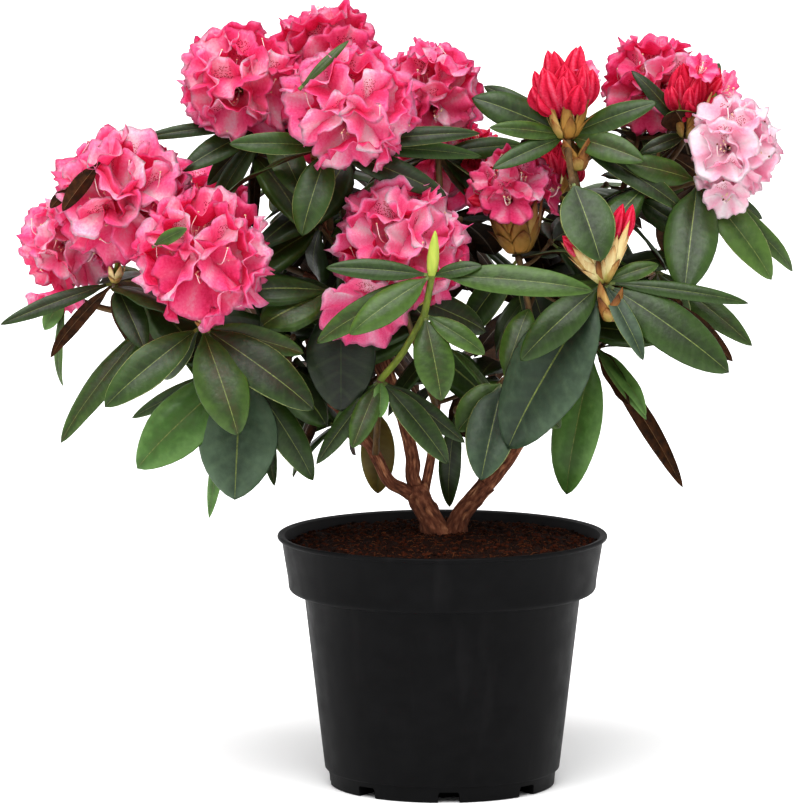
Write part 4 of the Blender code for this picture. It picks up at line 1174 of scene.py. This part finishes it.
class Space:
    """What has been placed, so that what is added keeps clear of it."""

    def __init__(self):
        self.items = []

    def add(self, owner, shape):
        verts = [tuple(v) for v in shape[0]]
        low = np.min(verts, axis=0) - LEAF_CLEAR
        high = np.max(verts, axis=0) + LEAF_CLEAR
        self.items.append((owner, low, high, tree_of(shape, LEAF_CLEAR)))

    def is_free(self, owner, shape):
        verts = [tuple(v) for v in shape[0]]
        low = np.min(verts, axis=0)
        high = np.max(verts, axis=0)
        tree = None
        for other, other_low, other_high, other_tree in self.items:
            if other == owner or (low > other_high).any() or (high < other_low).any():
                continue
            tree = tree or tree_of(shape, LEAF_CLEAR)
            if tree.overlap(other_tree):
                return False
        return True


def solid_shape(node):
    mesh = NODES[node].data
    return [v.co.copy() for v in mesh.vertices], [tuple(p.vertices) for p in mesh.polygons]


def tone_of(key, rng):
    """A leaf's colour: its own if the table gives one, or dealt out at random."""
    dealt = rng.choices(("dark", "mid", "light"), TONES_DEALT)[0]
    return LEAF_TONES.get(key, dealt)


def grow_leaves(batch, name, places, space, foreground):
    """The leaves of one mass that its solid has, each in its place there."""
    has_tip = tip_finder(name)
    rng = random.Random(f"{name} tones")
    for k, (whorl, place) in enumerate(zip(MASSES[name].whorls, places)):
        shown = shown_leaves(whorl)
        runs = [run for run, _, _ in shown]
        seeded = seeded_leaves(whorl.fill, runs, place, f"{name} leaf {k}", WHORL_LENGTHS, WHORL_WIDTHS)
        for i, (run, width, facing) in enumerate(shown + seeded):
            found = as_in_solid(has_tip, place, run)
            tone = tone_of((name, k, i), rng)
            if found is not None:
                add_leaf(batch, place, found, width, facing, rng, tone)
                blade = test_blade(place, found, width, facing)
                space.add(name, blade)
                if i < len(shown):
                    foreground.add(blade)


def as_seen(place):
    """Where a place lies in the view from the front, in millimetres right and up."""
    return place.x / MM, (place.z + place.y * math.tan(CAMERA_PITCH)) / MM


def in_outline(place):
    """Whether a place lies within the crown's outline as seen, and clear of the sky that shows through."""
    x, up = as_seen(place)
    inside = False
    for (x0, z0), (x1, z1) in zip(CROWN_OUTLINE, CROWN_OUTLINE[1:] + CROWN_OUTLINE[:1]):
        if (z0 > up) != (z1 > up) and x < x0 + (up - z0) / (z1 - z0) * (x1 - x0):
            inside = not inside
    return inside and not any(x0 < x < x1 and z0 < up < z1 for x0, z0, x1, z1 in SKY_GAPS)


def ball(centre, radius):
    """A plain ball that stands for a bloom."""
    rows, turns = 6, 9
    verts = [centre + UP * radius, centre - UP * radius]
    for i in range(1, rows):
        a = math.pi * i / rows
        for b in (2 * math.pi * j / turns for j in range(turns)):
            aim = Vector((math.sin(a) * math.cos(b), math.sin(a) * math.sin(b), math.cos(a)))
            verts.append(centre + aim * radius)
    last = 2 + (rows - 2) * turns
    faces = [(0, 2 + j, 2 + (j + 1) % turns) for j in range(turns)]
    faces += [(1, last + (j + 1) % turns, last + j) for j in range(turns)]
    faces += [tuple(int(k) + 2 for k in face) for face in grid_faces(rows - 1, turns, closed=True)]
    return verts, faces


class Foreground:
    """The leaves and blooms that the front view shows, which nothing that is added may hide."""

    def __init__(self):
        self.verts, self.faces = [], []

    def add(self, shape):
        verts, faces = shape
        self.faces += [tuple(i + len(self.verts) for i in face) for face in faces]
        self.verts += verts

    def close(self):
        self.tree = tree_of((self.verts, self.faces))
        self.away = Vector((0, math.cos(CAMERA_PITCH), -math.sin(CAMERA_PITCH)))

    def is_hidden_by(self, places):
        return any(self.tree.ray_cast(place, self.away)[0] is not None for place in places)


def grow_side_shoots(batches, name, path, radius, shares, space, foreground):
    """Short side twigs on a stem or bough, each with a whorl of leaves, where there is room in the crown."""
    rng = random.Random(f"{name} shoots")
    for k, share in enumerate(shares):
        start = path[int((len(path) - 1) * share)]
        heading = GOLDEN * k + rng.uniform(-0.5, 0.5)
        lean = Vector((math.cos(heading), math.sin(heading), rng.uniform(0.1, 0.9))).normalized()
        tip = start + lean * rng.uniform(*SHOOT_REACH) * MM
        grown = []
        outward = 0.5 if tip.y < 50 * MM else -0.35
        seed = f"{name} shoot {k}"
        for run, width, _ in seeded_leaves(SHOOT_LEAVES, (), tip, seed, SHOOT_LENGTHS, SHOOT_WIDTHS):
            facing = outward * rng.uniform(0.5, 1.3)
            shape = test_blade(tip, run, width, facing)
            marks = [tip + run * 0.3, *shape[0][2:]]
            inside = in_crown(tip + run) and all(in_outline(mark) for mark in marks)
            if inside and not foreground.is_hidden_by(marks) and space.is_free(None, shape):
                space.add(name, shape)
                grown.append((run, width, facing))
        if len(grown) == 1:
            space.items.pop()
        if len(grown) > 1:
            for run, width, facing in grown:
                # Darker tones on these inner leaves paint the crown's shade
                tone = rng.choices(("dark", "mid"), SHOOT_TONES_DEALT)[0]
                add_leaf(batches["leaves"], tip, run, width, facing, rng, tone, PLAIN_LEAF)
            bend = start.lerp(tip, 0.5) + UP * -3 * MM
            twig = smooth_path([start, bend, tip], 4)
            radii = np.linspace(radius * 0.7, SHOOT_TIP_RADIUS, len(twig))
            batches["twigs"].tube(twig, radii, 8, TWIG_SLOTS["brown"])
            knob(batches["twigs"], tip, SHOOT_KNOB_RADIUS, TWIG_SLOTS["brown"])


# Twigs

TWIG_SLOTS = {"brown": 0, "green": 1}


def twig_materials():
    return [twig_material("twig_brown", "3a2a18", "7a5f38"), twig_material("twig_green", "4a5a1c", "83902f")]


def grow_twigs(batch, name, spec, limbs):
    """The stem and twigs of one mass from whorl to whorl. Returns each whorl's place and its twig's path."""
    places, stems = [], []
    radius = spec.radius * MM
    for k, whorl in enumerate(spec.whorls):
        place = vec(whorl.place)
        if whorl.follows is None:
            start, heading = limbs[spec.parent].leave(spec.at, place)
            first = start + heading * radius * (2 if spec.at == 1 else 4)
            middle = first + heading * (place - first).length * 0.4
            path = smooth_path([start, first, middle.lerp(place, 0.3), place], 5)
        else:
            start = places[whorl.follows]
            middle = start.lerp(place, 0.5) - UP * (place - start).length * 0.06
            path = smooth_path([start, middle, place], 6)
        young = "green" if name == "mass_front" and k > 0 else "brown"
        add_wood(batch, path, np.linspace(radius, radius * 0.85, len(path)), TWIG_SIDES, TWIG_PITCH,
                 k + len(name) * TWIG_SEED_STEP, TWIG_SLOTS[young])
        knob(batch, place, KNOB_RADIUS, TWIG_SLOTS[young])
        places.append(place)
        stems.append(path)
    return places, stems


def knob(batch, place, radius, slot):
    """The swollen end of a shoot."""
    path = [place + UP * radius * f for f in (-1.2, -0.8, -0.3, 0.3, 0.8, 1.1)]
    radii = [radius * f for f in (0.35, 0.75, 1, 1, 0.7, 0.3)]
    batch.tube(path, radii, 12, slot)


# Blossom

PETAL_SLOTS = {"pink": 0, "deep": 1, "pale": 2, "crimson": 3, "pink_freckled": 4,
               "deep_freckled": 5, "pale_freckled": 6}
TONE_MIXES = {"pink": ("pink", "pink", "pink", "deep"), "deep": ("deep", "deep", "pink"),
              "pale": ("pale",), "opening": ("crimson", "deep", "deep", "pink")}
FLORET_TURNS = 76
FLORET_RINGS = 9
FLORET_TILT = 0.10
FLORET_SPREAD = 0.71
THROAT_RADIUS, TUBE_FLARE, TUBE_RADIUS = 0.05, 0.08, 0.13
THROAT_HEIGHT, TUBE_HEIGHT, LOBE_HEIGHT = 0.2, 0.28, 0.32
EDGE_WAVES, RUFFLES, FRILLS = (7, 11, 14), (5, 8, 11), (10, 14, 18)
RUFFLE_HEIGHT, FRILL_HEIGHT = 0.14, 0.11
SHADE_BASE, STREAK_DEPTH, STREAK_WIDTH = 0.57, 0.46, 0.28
BLOTCH_WIDTH, BLOTCH_START, BLOTCH_END = 0.34, 0.04, 0.62
TUBE_SHARE = 0.36
PETAL_THICK = 0.4 * MM
STALK_RADIUS = 1.1 * MM
STALK_SIDES = 6

# Stamens, and the longer style in their middle
STAMENS = 6
ANTHER_ENDS = (0.3, 1, 1, 0.3)
FILAMENT_WIDTH, STYLE_WIDTH = 0.36 * MM, 0.5 * MM
ANTHER_WIDTH, STIGMA_WIDTH = 0.62 * MM, 0.75 * MM
FILAMENT_REACH, STYLE_REACH = (0.3, 0.44), 0.6
FILAMENT_BEND, STYLE_BEND = (0.02, 0.07), 0.22

# A truss: its florets at a usual radius, its lowest floret, the size of each against the truss
Form = namedtuple("Form", "count radius lowest size")
WHOLE = Form(14, 44 * MM, -0.7, 1)
OPENING = Form(13, 40 * MM, -0.05, 0.72)
COUNT_POWER = 0.6
OPENING_BUDS = 9
CLUSTER_BUDS = 25
BUD_ROWS = 13
BUD_SIDES = 25
SCALE_ROWS = 9
SCALE_COLUMNS = 7
GREEN_BUD = ((-1, 2.4), (5, 3.8), (12, 4.2), (20, 3.4), (27, 1.9), (30, 0.9), (31, 0.3))

PETAL_RAMPS = {"pink": ("fff0f7", "ffaad0", "fc6eaa", "e6286a"),
               "deep": ("ffd0e2", "fd84b2", "f65494", "da1e56"),
               "pale": ("fffbfd", "ffeaf2", "fed0e2", "f7a4c2"),
               "crimson": ("fd7c98", "f43e68", "e0204a", "a00a2a")}


def petal_materials():
    freckled = [petal(f"petal_{tone}_freckled", *PETAL_RAMPS[tone], spot="b81444")
                for tone in ("pink", "deep", "pale")]
    return [petal(f"petal_{tone}", *ramp) for tone, ramp in PETAL_RAMPS.items()] + freckled


def floret_shape(rng, size):
    """A ruffled funnel of five lobes. Returns points by ring and turn, and how deep its colour is.

    Its axis is +Z and its upper lobe points to +X. size is the truss's radius, in which heights are
    counted from the truss's centre.
    """
    a = (2 * math.pi * np.arange(FLORET_TURNS) / FLORET_TURNS)[None]
    s = np.linspace(0, 1, FLORET_RINGS)[:, None] ** 0.85
    flare = np.clip((s - TUBE_SHARE) / (1 - TUBE_SHARE), 0, 1)
    tube_part = np.clip(s / TUBE_SHARE, 0, 1)
    lobe = np.floor((a / (2 * math.pi) * 5 + 0.5) % 5).astype(int)
    off = (a - lobe * 2 * math.pi / 5 + math.pi) % (2 * math.pi) - math.pi
    crown = np.abs(np.cos(2.5 * a))

    def by_lobe(low, high):
        """A value drawn for each lobe, that meets its neighbours' where the lobes part."""
        drawn = np.array([rng.uniform(low, high) for _ in range(5)])[lobe]
        return (low + high) / 2 + (drawn - (low + high) / 2) * np.minimum(1, 1.6 * crown) ** 0.8

    def folds(numbers, drift):
        """Waves round the floret, whose crests wander from its throat to its edge."""
        waves = [rng.uniform(0.5, 1) * np.sin(n * a + rng.uniform(0, 6.3) + rng.uniform(-drift, drift) * s)
                 for n in numbers]
        return sum(waves) / len(waves)

    spread = FLORET_SPREAD * by_lobe(0.88, 1.12)
    edge = spread * (0.78 + 0.22 * crown ** 0.55)
    waves = folds(EDGE_WAVES, 1.5)
    radius = THROAT_RADIUS + TUBE_FLARE * tube_part + (edge - TUBE_RADIUS) * flare ** 0.86
    radius = radius * (1 + 0.08 * waves * flare ** 2)
    height = THROAT_HEIGHT + TUBE_HEIGHT * tube_part + LOBE_HEIGHT * flare ** 0.9
    height = height - by_lobe(-0.02, 0.14) * flare ** 2.4
    height = height + by_lobe(-0.03, 0.08) * (1 - crown) * flare
    height = height - 0.04 * np.exp(-(off / 0.13) ** 2) * flare * (1 - flare) * 4
    ruffles = folds(RUFFLES, 2.0)
    frill = folds(FRILLS, 3.0)
    height = height + RUFFLE_HEIGHT * ruffles * flare ** 1.4 + FRILL_HEIGHT * frill * flare ** 3
    points = np.stack(np.broadcast_arrays(radius * np.cos(a), radius * np.sin(a), height), 2) * size
    streak = np.exp(-(off / STREAK_WIDTH) ** 2) * np.sin(np.pi * np.clip(flare * 1.05, 0, 1)) ** 0.7
    # Colour: pale streaks along the lobes and a pale throat; deeper where the lobes part and down the tube,
    # which is painted shade; it also rises and falls with the ruffles and frills
    shade = SHADE_BASE - STREAK_DEPTH * streak + 0.24 * (1 - crown) * flare + 0.14 * ruffles * flare
    shade = shade - 0.34 * flare ** 5 + by_lobe(-0.14, 0.12)
    shade = shade + 0.22 * frill * flare ** 2
    shade = shade + 0.25 * (1 - tube_part) - 0.12 * np.exp(-((flare - 0.05) / 0.12) ** 2)
    shade = shade + rng.uniform(-0.1, 0.1)
    blotched = (lobe == 0) & (np.abs(off) < BLOTCH_WIDTH) & (flare > BLOTCH_START) & (flare < BLOTCH_END)
    return points, shade, blotched


def surface_normals(points):
    """Unit normals of a grid whose rows are closed rings."""
    around = np.roll(points, -1, axis=1) - np.roll(points, 1, axis=1)
    out = np.gradient(points, axis=0)
    normal = np.cross(out, around)
    return normal / np.maximum(np.linalg.norm(normal, axis=2)[:, :, None], 1e-12)


def add_floret(batches, centre, axis, size, rng, tone):
    """One floret on its truss, with its upper lobe uppermost, a thin back and its stamens."""
    points, shade, blotched = floret_shape(rng, size)
    tilt = Vector([rng.gauss(0, FLORET_TILT) for _ in range(3)])
    axis = (axis + tilt).normalized()
    level = UP - UP.dot(axis) * axis
    if level.length < 0.2:
        level = axis.orthogonal()
    turn = Matrix.Rotation(rng.uniform(-0.5, 0.5), 3, axis)
    first = turn @ level.normalized()
    second = axis.cross(first)
    basis = np.array([tuple(first), tuple(second), tuple(axis)])
    front = points @ basis + np.array(centre)
    normal = surface_normals(front)
    rows, turns = front.shape[:2]
    back = front[1:-1] - normal[1:-1] * PETAL_THICK
    inside, outside = two_sides(rows, turns, closed=True)
    slots = np.full(len(inside), PETAL_SLOTS[tone])
    face_blotched = np.broadcast_to(blotched, (rows, turns))[:-1].ravel()
    slots[face_blotched] = PETAL_SLOTS.get(f"{tone}_freckled", PETAL_SLOTS[tone])
    deep = np.clip(shade[1:-1] * 0.4 + 0.5, 0, 1)
    batches["petals"].add(np.concatenate([front.reshape(-1, 3), back.reshape(-1, 3)]),
                          [inside[:, TURNED_OVER], outside], slot=[slots, PETAL_SLOTS[tone]],
                          shade=np.concatenate([np.clip(shade, 0, 1).ravel(), deep.ravel()]))
    add_stamens(batches["stamens"], Vector(centre), axis, Vector(first), size, rng, tone == "pale")


def add_stamens(batch, centre, axis, upper, size, rng, dark):
    """Pale curved filaments with small dark anthers, and one longer style that bends up."""
    foot = centre + axis * size * 0.3
    for i in range(STAMENS + 1):
        style = i == STAMENS
        a = GOLDEN * i + rng.uniform(-0.3, 0.3)
        out = upper * math.cos(a) + axis.cross(upper) * math.sin(a)
        lean = rng.uniform(0.05, 0.14) * size
        reach = size * (STYLE_REACH if style else rng.uniform(*FILAMENT_REACH))
        bend = upper * size * (STYLE_BEND if style else rng.uniform(*FILAMENT_BEND))
        path = [foot, foot + axis * reach * 0.4 + out * lean * 0.5 - bend * 0.5,
                foot + axis * reach * 0.8 + out * lean - bend * 0.4,
                foot + axis * reach + out * lean + bend * 0.6]
        if style:
            path = smooth_path(path, 3)
        width = STYLE_WIDTH if style else FILAMENT_WIDTH
        batch.tube(path, np.linspace(width, width * 0.7, len(path)), 3, mapped=False)
        tip, heading = path[-1], (path[-1] - path[-2]).normalized()
        side = heading.orthogonal().normalized() * rng.uniform(0.4, 0.8) * MM
        body = [tip - side * 1.4, tip - side * 0.6, tip + side * 0.6, tip + side * 1.4]
        anther = STIGMA_WIDTH if style else ANTHER_WIDTH
        batch.tube(body, [anther * f for f in ANTHER_ENDS], 4, 2 if style and dark else 1, mapped=False)


def sphere_spots(count, lowest):
    """Directions spread evenly over a ball above a height, the first at the top."""
    spots = []
    for i in range(count):
        z = 1 - (i + 0.35) / count * (1 - lowest)
        r = math.sqrt(max(0, 1 - z * z))
        spots.append(Vector((r * math.cos(GOLDEN * i), r * math.sin(GOLDEN * i), z)))
    return spots


def turned_to(axis, rng):
    """Turns +Z to an axis, with a random turn about it."""
    return UP.rotation_difference(axis).to_matrix() @ Matrix.Rotation(rng.uniform(0, 6), 3, "Z")


def add_stalk(batch, path):
    """The green stalk of a floret."""
    batch.tube(path, [STALK_RADIUS] * len(path), STALK_SIDES, TWIG_SLOTS["green"])


def add_truss(batches, place, centre, radius, seed, tone, whole):
    """A ball of florets, each on its own stalk from the shoot's tip."""
    rng = random.Random(seed)
    axis = (centre - place).normalized()
    turn = turned_to(axis, rng)
    form = WHOLE if whole else OPENING
    count = round(form.count * (radius / form.radius) ** COUNT_POWER)
    tones = TONE_MIXES[tone if whole else "opening"]
    for spot in sphere_spots(count, form.lowest):
        aim = turn @ spot
        size = radius * rng.uniform(0.92, 1.08) * form.size
        stand = centre + aim * radius * (rng.uniform(-0.05, 0.08) if whole else 0.32)
        add_floret(batches, stand, aim, size, rng, rng.choice(tones))
        stalk = smooth_path([place, place.lerp(centre, 0.6), centre + aim * radius * 0.28], 2)
        add_stalk(batches["twigs"], stalk)
    if not whole:
        for spot in sphere_spots(OPENING_BUDS, 0.3):
            aim = turn @ spot
            add_bud(batches["petals"], centre - axis * radius * 0.3, aim * radius * rng.uniform(0.95, 1.15),
                    radius * 0.17, rng)


def add_bud(batch, foot, run, width, rng, tone="crimson"):
    """A closed flower bud: a blunt spindle of folded petals with sharp creases and a slow twist."""
    t = np.linspace(0, 1, BUD_ROWS)
    radii = width * np.maximum(np.sin(np.pi * t ** 1.15) ** 0.72, 0.42 * (1 - t)) + 0.05 * MM
    turn = 2 * math.pi * np.arange(BUD_SIDES) / BUD_SIDES
    phase, twist = rng.uniform(0, 6), rng.uniform(0.8, 2.2)
    creases = np.abs(np.cos(2.5 * turn[None] + twist * t[:, None] + phase))
    fine = np.cos(8 * turn[None] + 2 * t[:, None] + phase)
    lobes = np.cos(2 * turn[None] + rng.uniform(0, 6)) + np.cos(3 * turn[None] - 3 * t[:, None] + phase)
    relief = radii[:, None] * (0.5 * (creases - 0.6) + 0.06 * fine + 0.14 * lobes)
    relief = relief * np.sin(np.pi * t)[:, None] ** 0.5
    side = run.orthogonal().normalized() * run.length * rng.uniform(-0.09, 0.09)
    path = [foot + run * float(x) + side * math.sin(math.pi * x) for x in t]
    # Crimson in the creases between the folds and paler on their ridges: painted shade
    shade = 0.8 - 0.6 * creases + 0.1 * fine + 0.1 * (1 - t)[:, None] + rng.uniform(-0.12, 0.12)
    shade = np.concatenate([np.clip(shade, 0, 1).ravel(), [0.6, 0.4]])
    batch.tube(path, radii, BUD_SIDES, PETAL_SLOTS[tone], relief, shade)


def add_bud_cluster(batches, place, centre, radius, seed):
    """Closed flower buds standing together on one shoot, in a ruff of pale bracts."""
    rng = random.Random(seed)
    axis = (centre - place).normalized()
    turn = turned_to(axis, rng)
    core = place.lerp(centre, 0.4)
    for spot in sphere_spots(CLUSTER_BUDS, -0.2):
        stray = Vector([rng.gauss(0, 0.2) for _ in range(3)])
        aim = (turn @ spot + stray).normalized()
        flat = aim - aim.dot(axis) * axis
        foot = core + flat * radius * 0.3
        tip = centre + flat * radius * 0.8 + axis * aim.dot(axis) * radius * rng.uniform(0.7, 1.2)
        add_bud(batches["petals"], foot, tip - foot, radius * rng.uniform(0.15, 0.26), rng)
    add_bracts(batches["bracts"], place - axis * 2 * MM, axis, (centre - place).length * 1.1, radius * 0.62,
               rng, (6, 7, 8), (0, 4, 2), 0.55)


def add_bracts(batch, foot, axis, height, radius, rng, counts, tones=(1, 0, 2), fullness=0.8):
    """Rings of pointed scales round a shoot, the outer ones shorter and browner."""
    first = axis.orthogonal().normalized()
    for ring, count in enumerate(counts):
        share = 0.42 + 0.58 * ring / max(1, len(counts) - 1)
        for i in range(count):
            a = 2 * math.pi * (i + 0.5 * (ring % 2)) / count + rng.uniform(-0.12, 0.12)
            out = Matrix.Rotation(a, 3, axis) @ first
            tone = rng.choice(tones[:2] if share < 0.8 else tones[1:])
            add_scale(batch, foot, axis, out, height * share * rng.uniform(0.88, 1.08), height,
                      radius * (1.12 - 0.12 * share), 2 * math.pi / count * fullness, rng, tone)


def add_scale(batch, foot, axis, out, height, whole, radius, spread, rng, tone):
    """One bract: a pointed shell that hugs the bud and stands off at its tip."""
    t = np.linspace(0, 1, SCALE_ROWS)[:, None]
    u = np.linspace(-1, 1, SCALE_COLUMNS)[None]
    across = axis.cross(out)
    wide = spread * np.minimum(1, 0.55 + 1.2 * t) * (1 - t ** 1.5) ** 0.95 + 0.015
    level = np.clip(t * height / whole, 0, 1)
    belly = radius * (0.36 + 0.64 * np.sin(np.pi / 2 * level ** 0.8)) * (1 - 0.22 * level ** 3)
    belly = belly + rng.uniform(0.0, 0.28) * radius * t ** 4
    ring = belly * (1 - 0.06 * u * u)

    def layer(gap):
        distance = (ring + gap)[:, :, None]
        rise = (height * t)[:, :, None]
        return (np.array(foot) + np.array(out) * np.cos(u * wide)[:, :, None] * distance
                + np.array(across) * np.sin(u * wide)[:, :, None] * distance + np.array(axis) * rise)

    outer, inner = layer(0.35 * MM), layer(-0.25 * MM)
    verts = np.concatenate([outer.reshape(-1, 3), inner[1:-1, 1:-1].reshape(-1, 3)])
    front, lining = two_sides(SCALE_ROWS, SCALE_COLUMNS)
    shade = np.broadcast_to(t, (SCALE_ROWS, SCALE_COLUMNS))
    shade = np.concatenate([shade.ravel(), shade[1:-1, 1:-1].ravel()])
    batch.add(verts, [front[:, TURNED_OVER], lining], slot=tone, shade=shade)


def bract_material(name, foot, middle, tip):
    """A dry scale, browner towards its tip, with fine lines."""
    s = Shader(name, 0.6, 0.35)
    lines = s.noise(1.0, 4, s.place((420, 420, 90)))
    s.colour(s.ramp(s.add(s.attribute("shade"), s.spread(lines, -0.15, 0.15)), (0.1, foot), (0.5, middle),
                    (0.95, tip)))
    s.rough(s.spread(lines, 0.5, 0.75))
    s.bump(lines, 0.25 * MM, 0.6)
    return s.mat


def grow_bloom(batches, name, k, whorl, place):
    """What a whorl bears."""
    if whorl.bears in ("leaf", "fork"):
        return
    seed = f"{name} bloom {k}"
    rng = random.Random(seed)
    centre, radius = vec(whorl.bloom[0]), whorl.bloom[1] * MM
    axis = (centre - place).normalized()
    tone = TRUSS_TONES.get(name, "pink")
    if whorl.bears == "truss":
        add_truss(batches, place, centre, radius, seed, tone, True)
        add_bracts(batches["bracts"], place, axis, 14 * MM, 6 * MM, rng, (4, 5))
    elif whorl.bears == "open":
        add_truss(batches, place, centre, radius, seed, tone, False)
        add_bracts(batches["bracts"], place + axis * 4 * MM, axis, (centre - place).length * 0.92,
                   radius * 0.56, rng, (6, 7, 8), (4, 4, 0))
    elif whorl.bears == "buds":
        add_bud_cluster(batches, place, centre, radius, seed)
    elif whorl.bears == "bud":
        if name == "mass_front":
            path = [place + axis * reach * MM for reach, _ in GREEN_BUD]
            batches["bracts"].tube(path, [r * MM for _, r in GREEN_BUD], 16, 3, shade=0.45)
        else:
            add_bracts(batches["bracts"], place - axis * 2 * MM, axis, 21 * MM, 2.9 * MM, rng, (3, 3, 3),
                       (0, 0, 0))
    elif whorl.bears == "prongs":
        for prong, showing, tones in zip(PRONGS, PRONG_SHOWING, PRONG_TONES):
            add_prong(batches, place, vec(prong), rng, showing, tones)


def add_prong(batches, place, run, rng, showing, tones):
    """A tall bud in cream bracts, its red petals out at the tip by as much as it is showing."""
    axis = run.normalized()
    add_bracts(batches["bracts"], place, axis, run.length * 0.8, PRONG_RADIUS, rng, (4, 4, 5, 5), tones)
    for i in range(PRONG_BUDS):
        a = 2 * math.pi * i / PRONG_BUDS
        out = Matrix.Rotation(a, 3, axis) @ axis.orthogonal().normalized()
        foot = place + axis * run.length * 0.4 + out * 2 * MM
        reach = run.length * showing * rng.uniform(0.92, 1.04)
        add_bud(batches["petals"], foot, axis * reach + out * 2.5 * MM, PRONG_BUD_WIDTH, rng)


def crown_materials():
    """The materials of each kind of piece, each with a slot name."""
    return {
        "twigs": (twig_materials(), "bark"),
        "leaves": (leaf_materials(), "foliage"),
        "petals": (petal_materials(), "foliage"),
        "stamens": ([plain_blend("filament", "f3d9dc", "fff6ec", 300, 0.5, 0.05),
                     plain_blend("pollen", "d9b98a", "f0dfc0", 900, 0.8, 0.1),
                     plain_blend("anther", "4a1f18", "8a4a34", 900, 0.7, 0.1)], "foliage"),
        "bracts": ([bract_material("bract_tan", "9a8a40", "b8985a", "8a5426"),
                    bract_material("bract_brown", "86602c", "9c6a34", "5a3018"),
                    bract_material("bract_cream", "a8a050", "dccd98", "c8a068"),
                    bract_material("bract_green", "7f9a34", "a8b44e", "c6c66a"),
                    bract_material("bract_gold", "b0823c", "a07a38", "7a4a24")], "foliage"),
    }


def grow_strays(regions):
    """The florets, leaves and scales that the tables place one by one."""
    rng = random.Random("stray florets")
    for foot, place, aim, size, tone, region in STRAY_FLORETS:
        axis = Vector(aim).normalized()
        throat = vec(place) - axis * 0.4 * size * MM
        add_floret(regions[region], throat, axis, size * 1.5 * MM, rng, tone)
        stalk = smooth_path([vec(foot), vec(foot).lerp(throat, 0.6), throat + axis * 0.36 * size * MM], 3)
        add_stalk(regions[region]["twigs"], stalk)
    rng = random.Random("stray")
    for place, run, width, facing, tone, region in STRAY_LEAVES:
        add_leaf(regions[region]["leaves"], vec(place), vec(run), width * MM, facing, rng, tone)
    for place, axis, height, radius, region in STRAY_SCALES:
        add_bracts(regions[region]["bracts"], vec(place), Vector(axis).normalized(), height * MM,
                   radius * MM, rng, (5, 5, 4), (1, 0, 4))


def grow_crown(limbs):
    """Every mass as twigs, leaves and blossom, each kind joined by region of the crown."""
    materials = crown_materials()
    space = Space()
    foreground = Foreground()
    for node in ("pot", "soil", "trunk", *BOUGHS):
        space.add(node, solid_shape(node))
    regions = {}
    places, stems = {}, {}
    for region, names in REGIONS.items():
        batches = {kind: Batch(mats) for kind, (mats, _) in materials.items()}
        regions[region] = batches
        for name in names:
            places[name], stems[name] = grow_twigs(batches["twigs"], name, MASSES[name], limbs)
            grow_leaves(batches["leaves"], name, places[name], space, foreground)
            for k, (whorl, place) in enumerate(zip(MASSES[name].whorls, places[name])):
                grow_bloom(batches, name, k, whorl, place)
                if whorl.bloom:
                    centre, radius = vec(whorl.bloom[0]), whorl.bloom[1] * MM
                    space.add(name, ball(centre, radius * 0.85))
                    foreground.add(ball(centre, radius))
                    foreground.add(ball(centre.lerp(place, 0.6), radius * 0.5))
    foreground.close()
    for region, names in REGIONS.items():
        for name in names:
            for k, stem in enumerate(stems[name]):
                grow_side_shoots(regions[region], f"{name} {k}", stem, MASSES[name].radius * MM,
                                 STEM_SHOOTS, space, foreground)
    for name, region in SHOOT_REGIONS.items():
        grow_side_shoots(regions[region], name, limbs[name].path, BOUGH_SHOOT_RADIUS, BOUGH_SHOOTS,
                         space, foreground)
    grow_strays(regions)
    for region, batches in regions.items():
        for kind, (_, slot_name) in materials.items():
            if batches[kind].count:
                nodes = REGIONS[region] if kind == "leaves" else ()
                batches[kind].piece(f"{kind}_{region}", slot_name, nodes)


# Setting

def make_stage():
    """A plain white floor that runs past every view."""
    s = Shader("floor", 0.9, 0.1)
    s.colour(s.ramp(s.noise(6, 2), (0.3, "fcfcfc"), (0.7, "ffffff")))
    mesh = bpy.data.meshes.new("floor")
    corners = [(x * FLOOR_REACH, y * FLOOR_REACH, 0) for x, y in ((-1, -1), (1, -1), (1, 1), (-1, 1))]
    mesh.from_pydata(corners, [], [(0, 1, 2, 3)])
    mesh.materials.append(s.mat)
    floor = placed("floor", mesh)


def make_lights():
    """A bright even room, with one wide, soft sun from the upper left front."""
    world = bpy.data.worlds.new("room")
    world.use_nodes = True
    world.node_tree.nodes["Background"].inputs[0].default_value = (1, 1, 1, 1)
    world.node_tree.nodes["Background"].inputs[1].default_value = ROOM_LIGHT
    bpy.context.scene.world = world
    key = bpy.data.lights.new("key", "SUN")
    key.energy = SUN_POWER
    key.angle = SUN_WIDTH
    placed("key", key).rotation_euler = SUN_AIM.to_track_quat("-Z", "Y").to_euler()


def make_camera():
    data = bpy.data.cameras.new("camera")
    data.sensor_width = SENSOR
    data.lens = SENSOR * CAMERA_DISTANCE / (PHOTO_HEIGHT * PIXEL)
    data.clip_start = CLIP_START
    data.clip_end = CLIP_END
    camera = placed("camera", data)
    back = Vector((0, -math.cos(CAMERA_PITCH), math.sin(CAMERA_PITCH)))
    camera.location = CAMERA_AIM + back * CAMERA_DISTANCE
    camera.rotation_euler = (-back).to_track_quat("-Z", "Y").to_euler()
    bpy.context.scene.camera = camera


make_camera()
make_lights()
make_stage()
view = bpy.context.scene.view_settings
view.view_transform = "Standard"
view.exposure = EXPOSURE
view.gamma = GAMMA
make_pot()
make_soil()
limbs = {}
wood = Batch([bark_material()])
grow_trunk(wood, limbs)
grow_boughs(wood, limbs)
wood.piece("bark", "bark", ["trunk", *BOUGHS])
grow_crown(limbs)
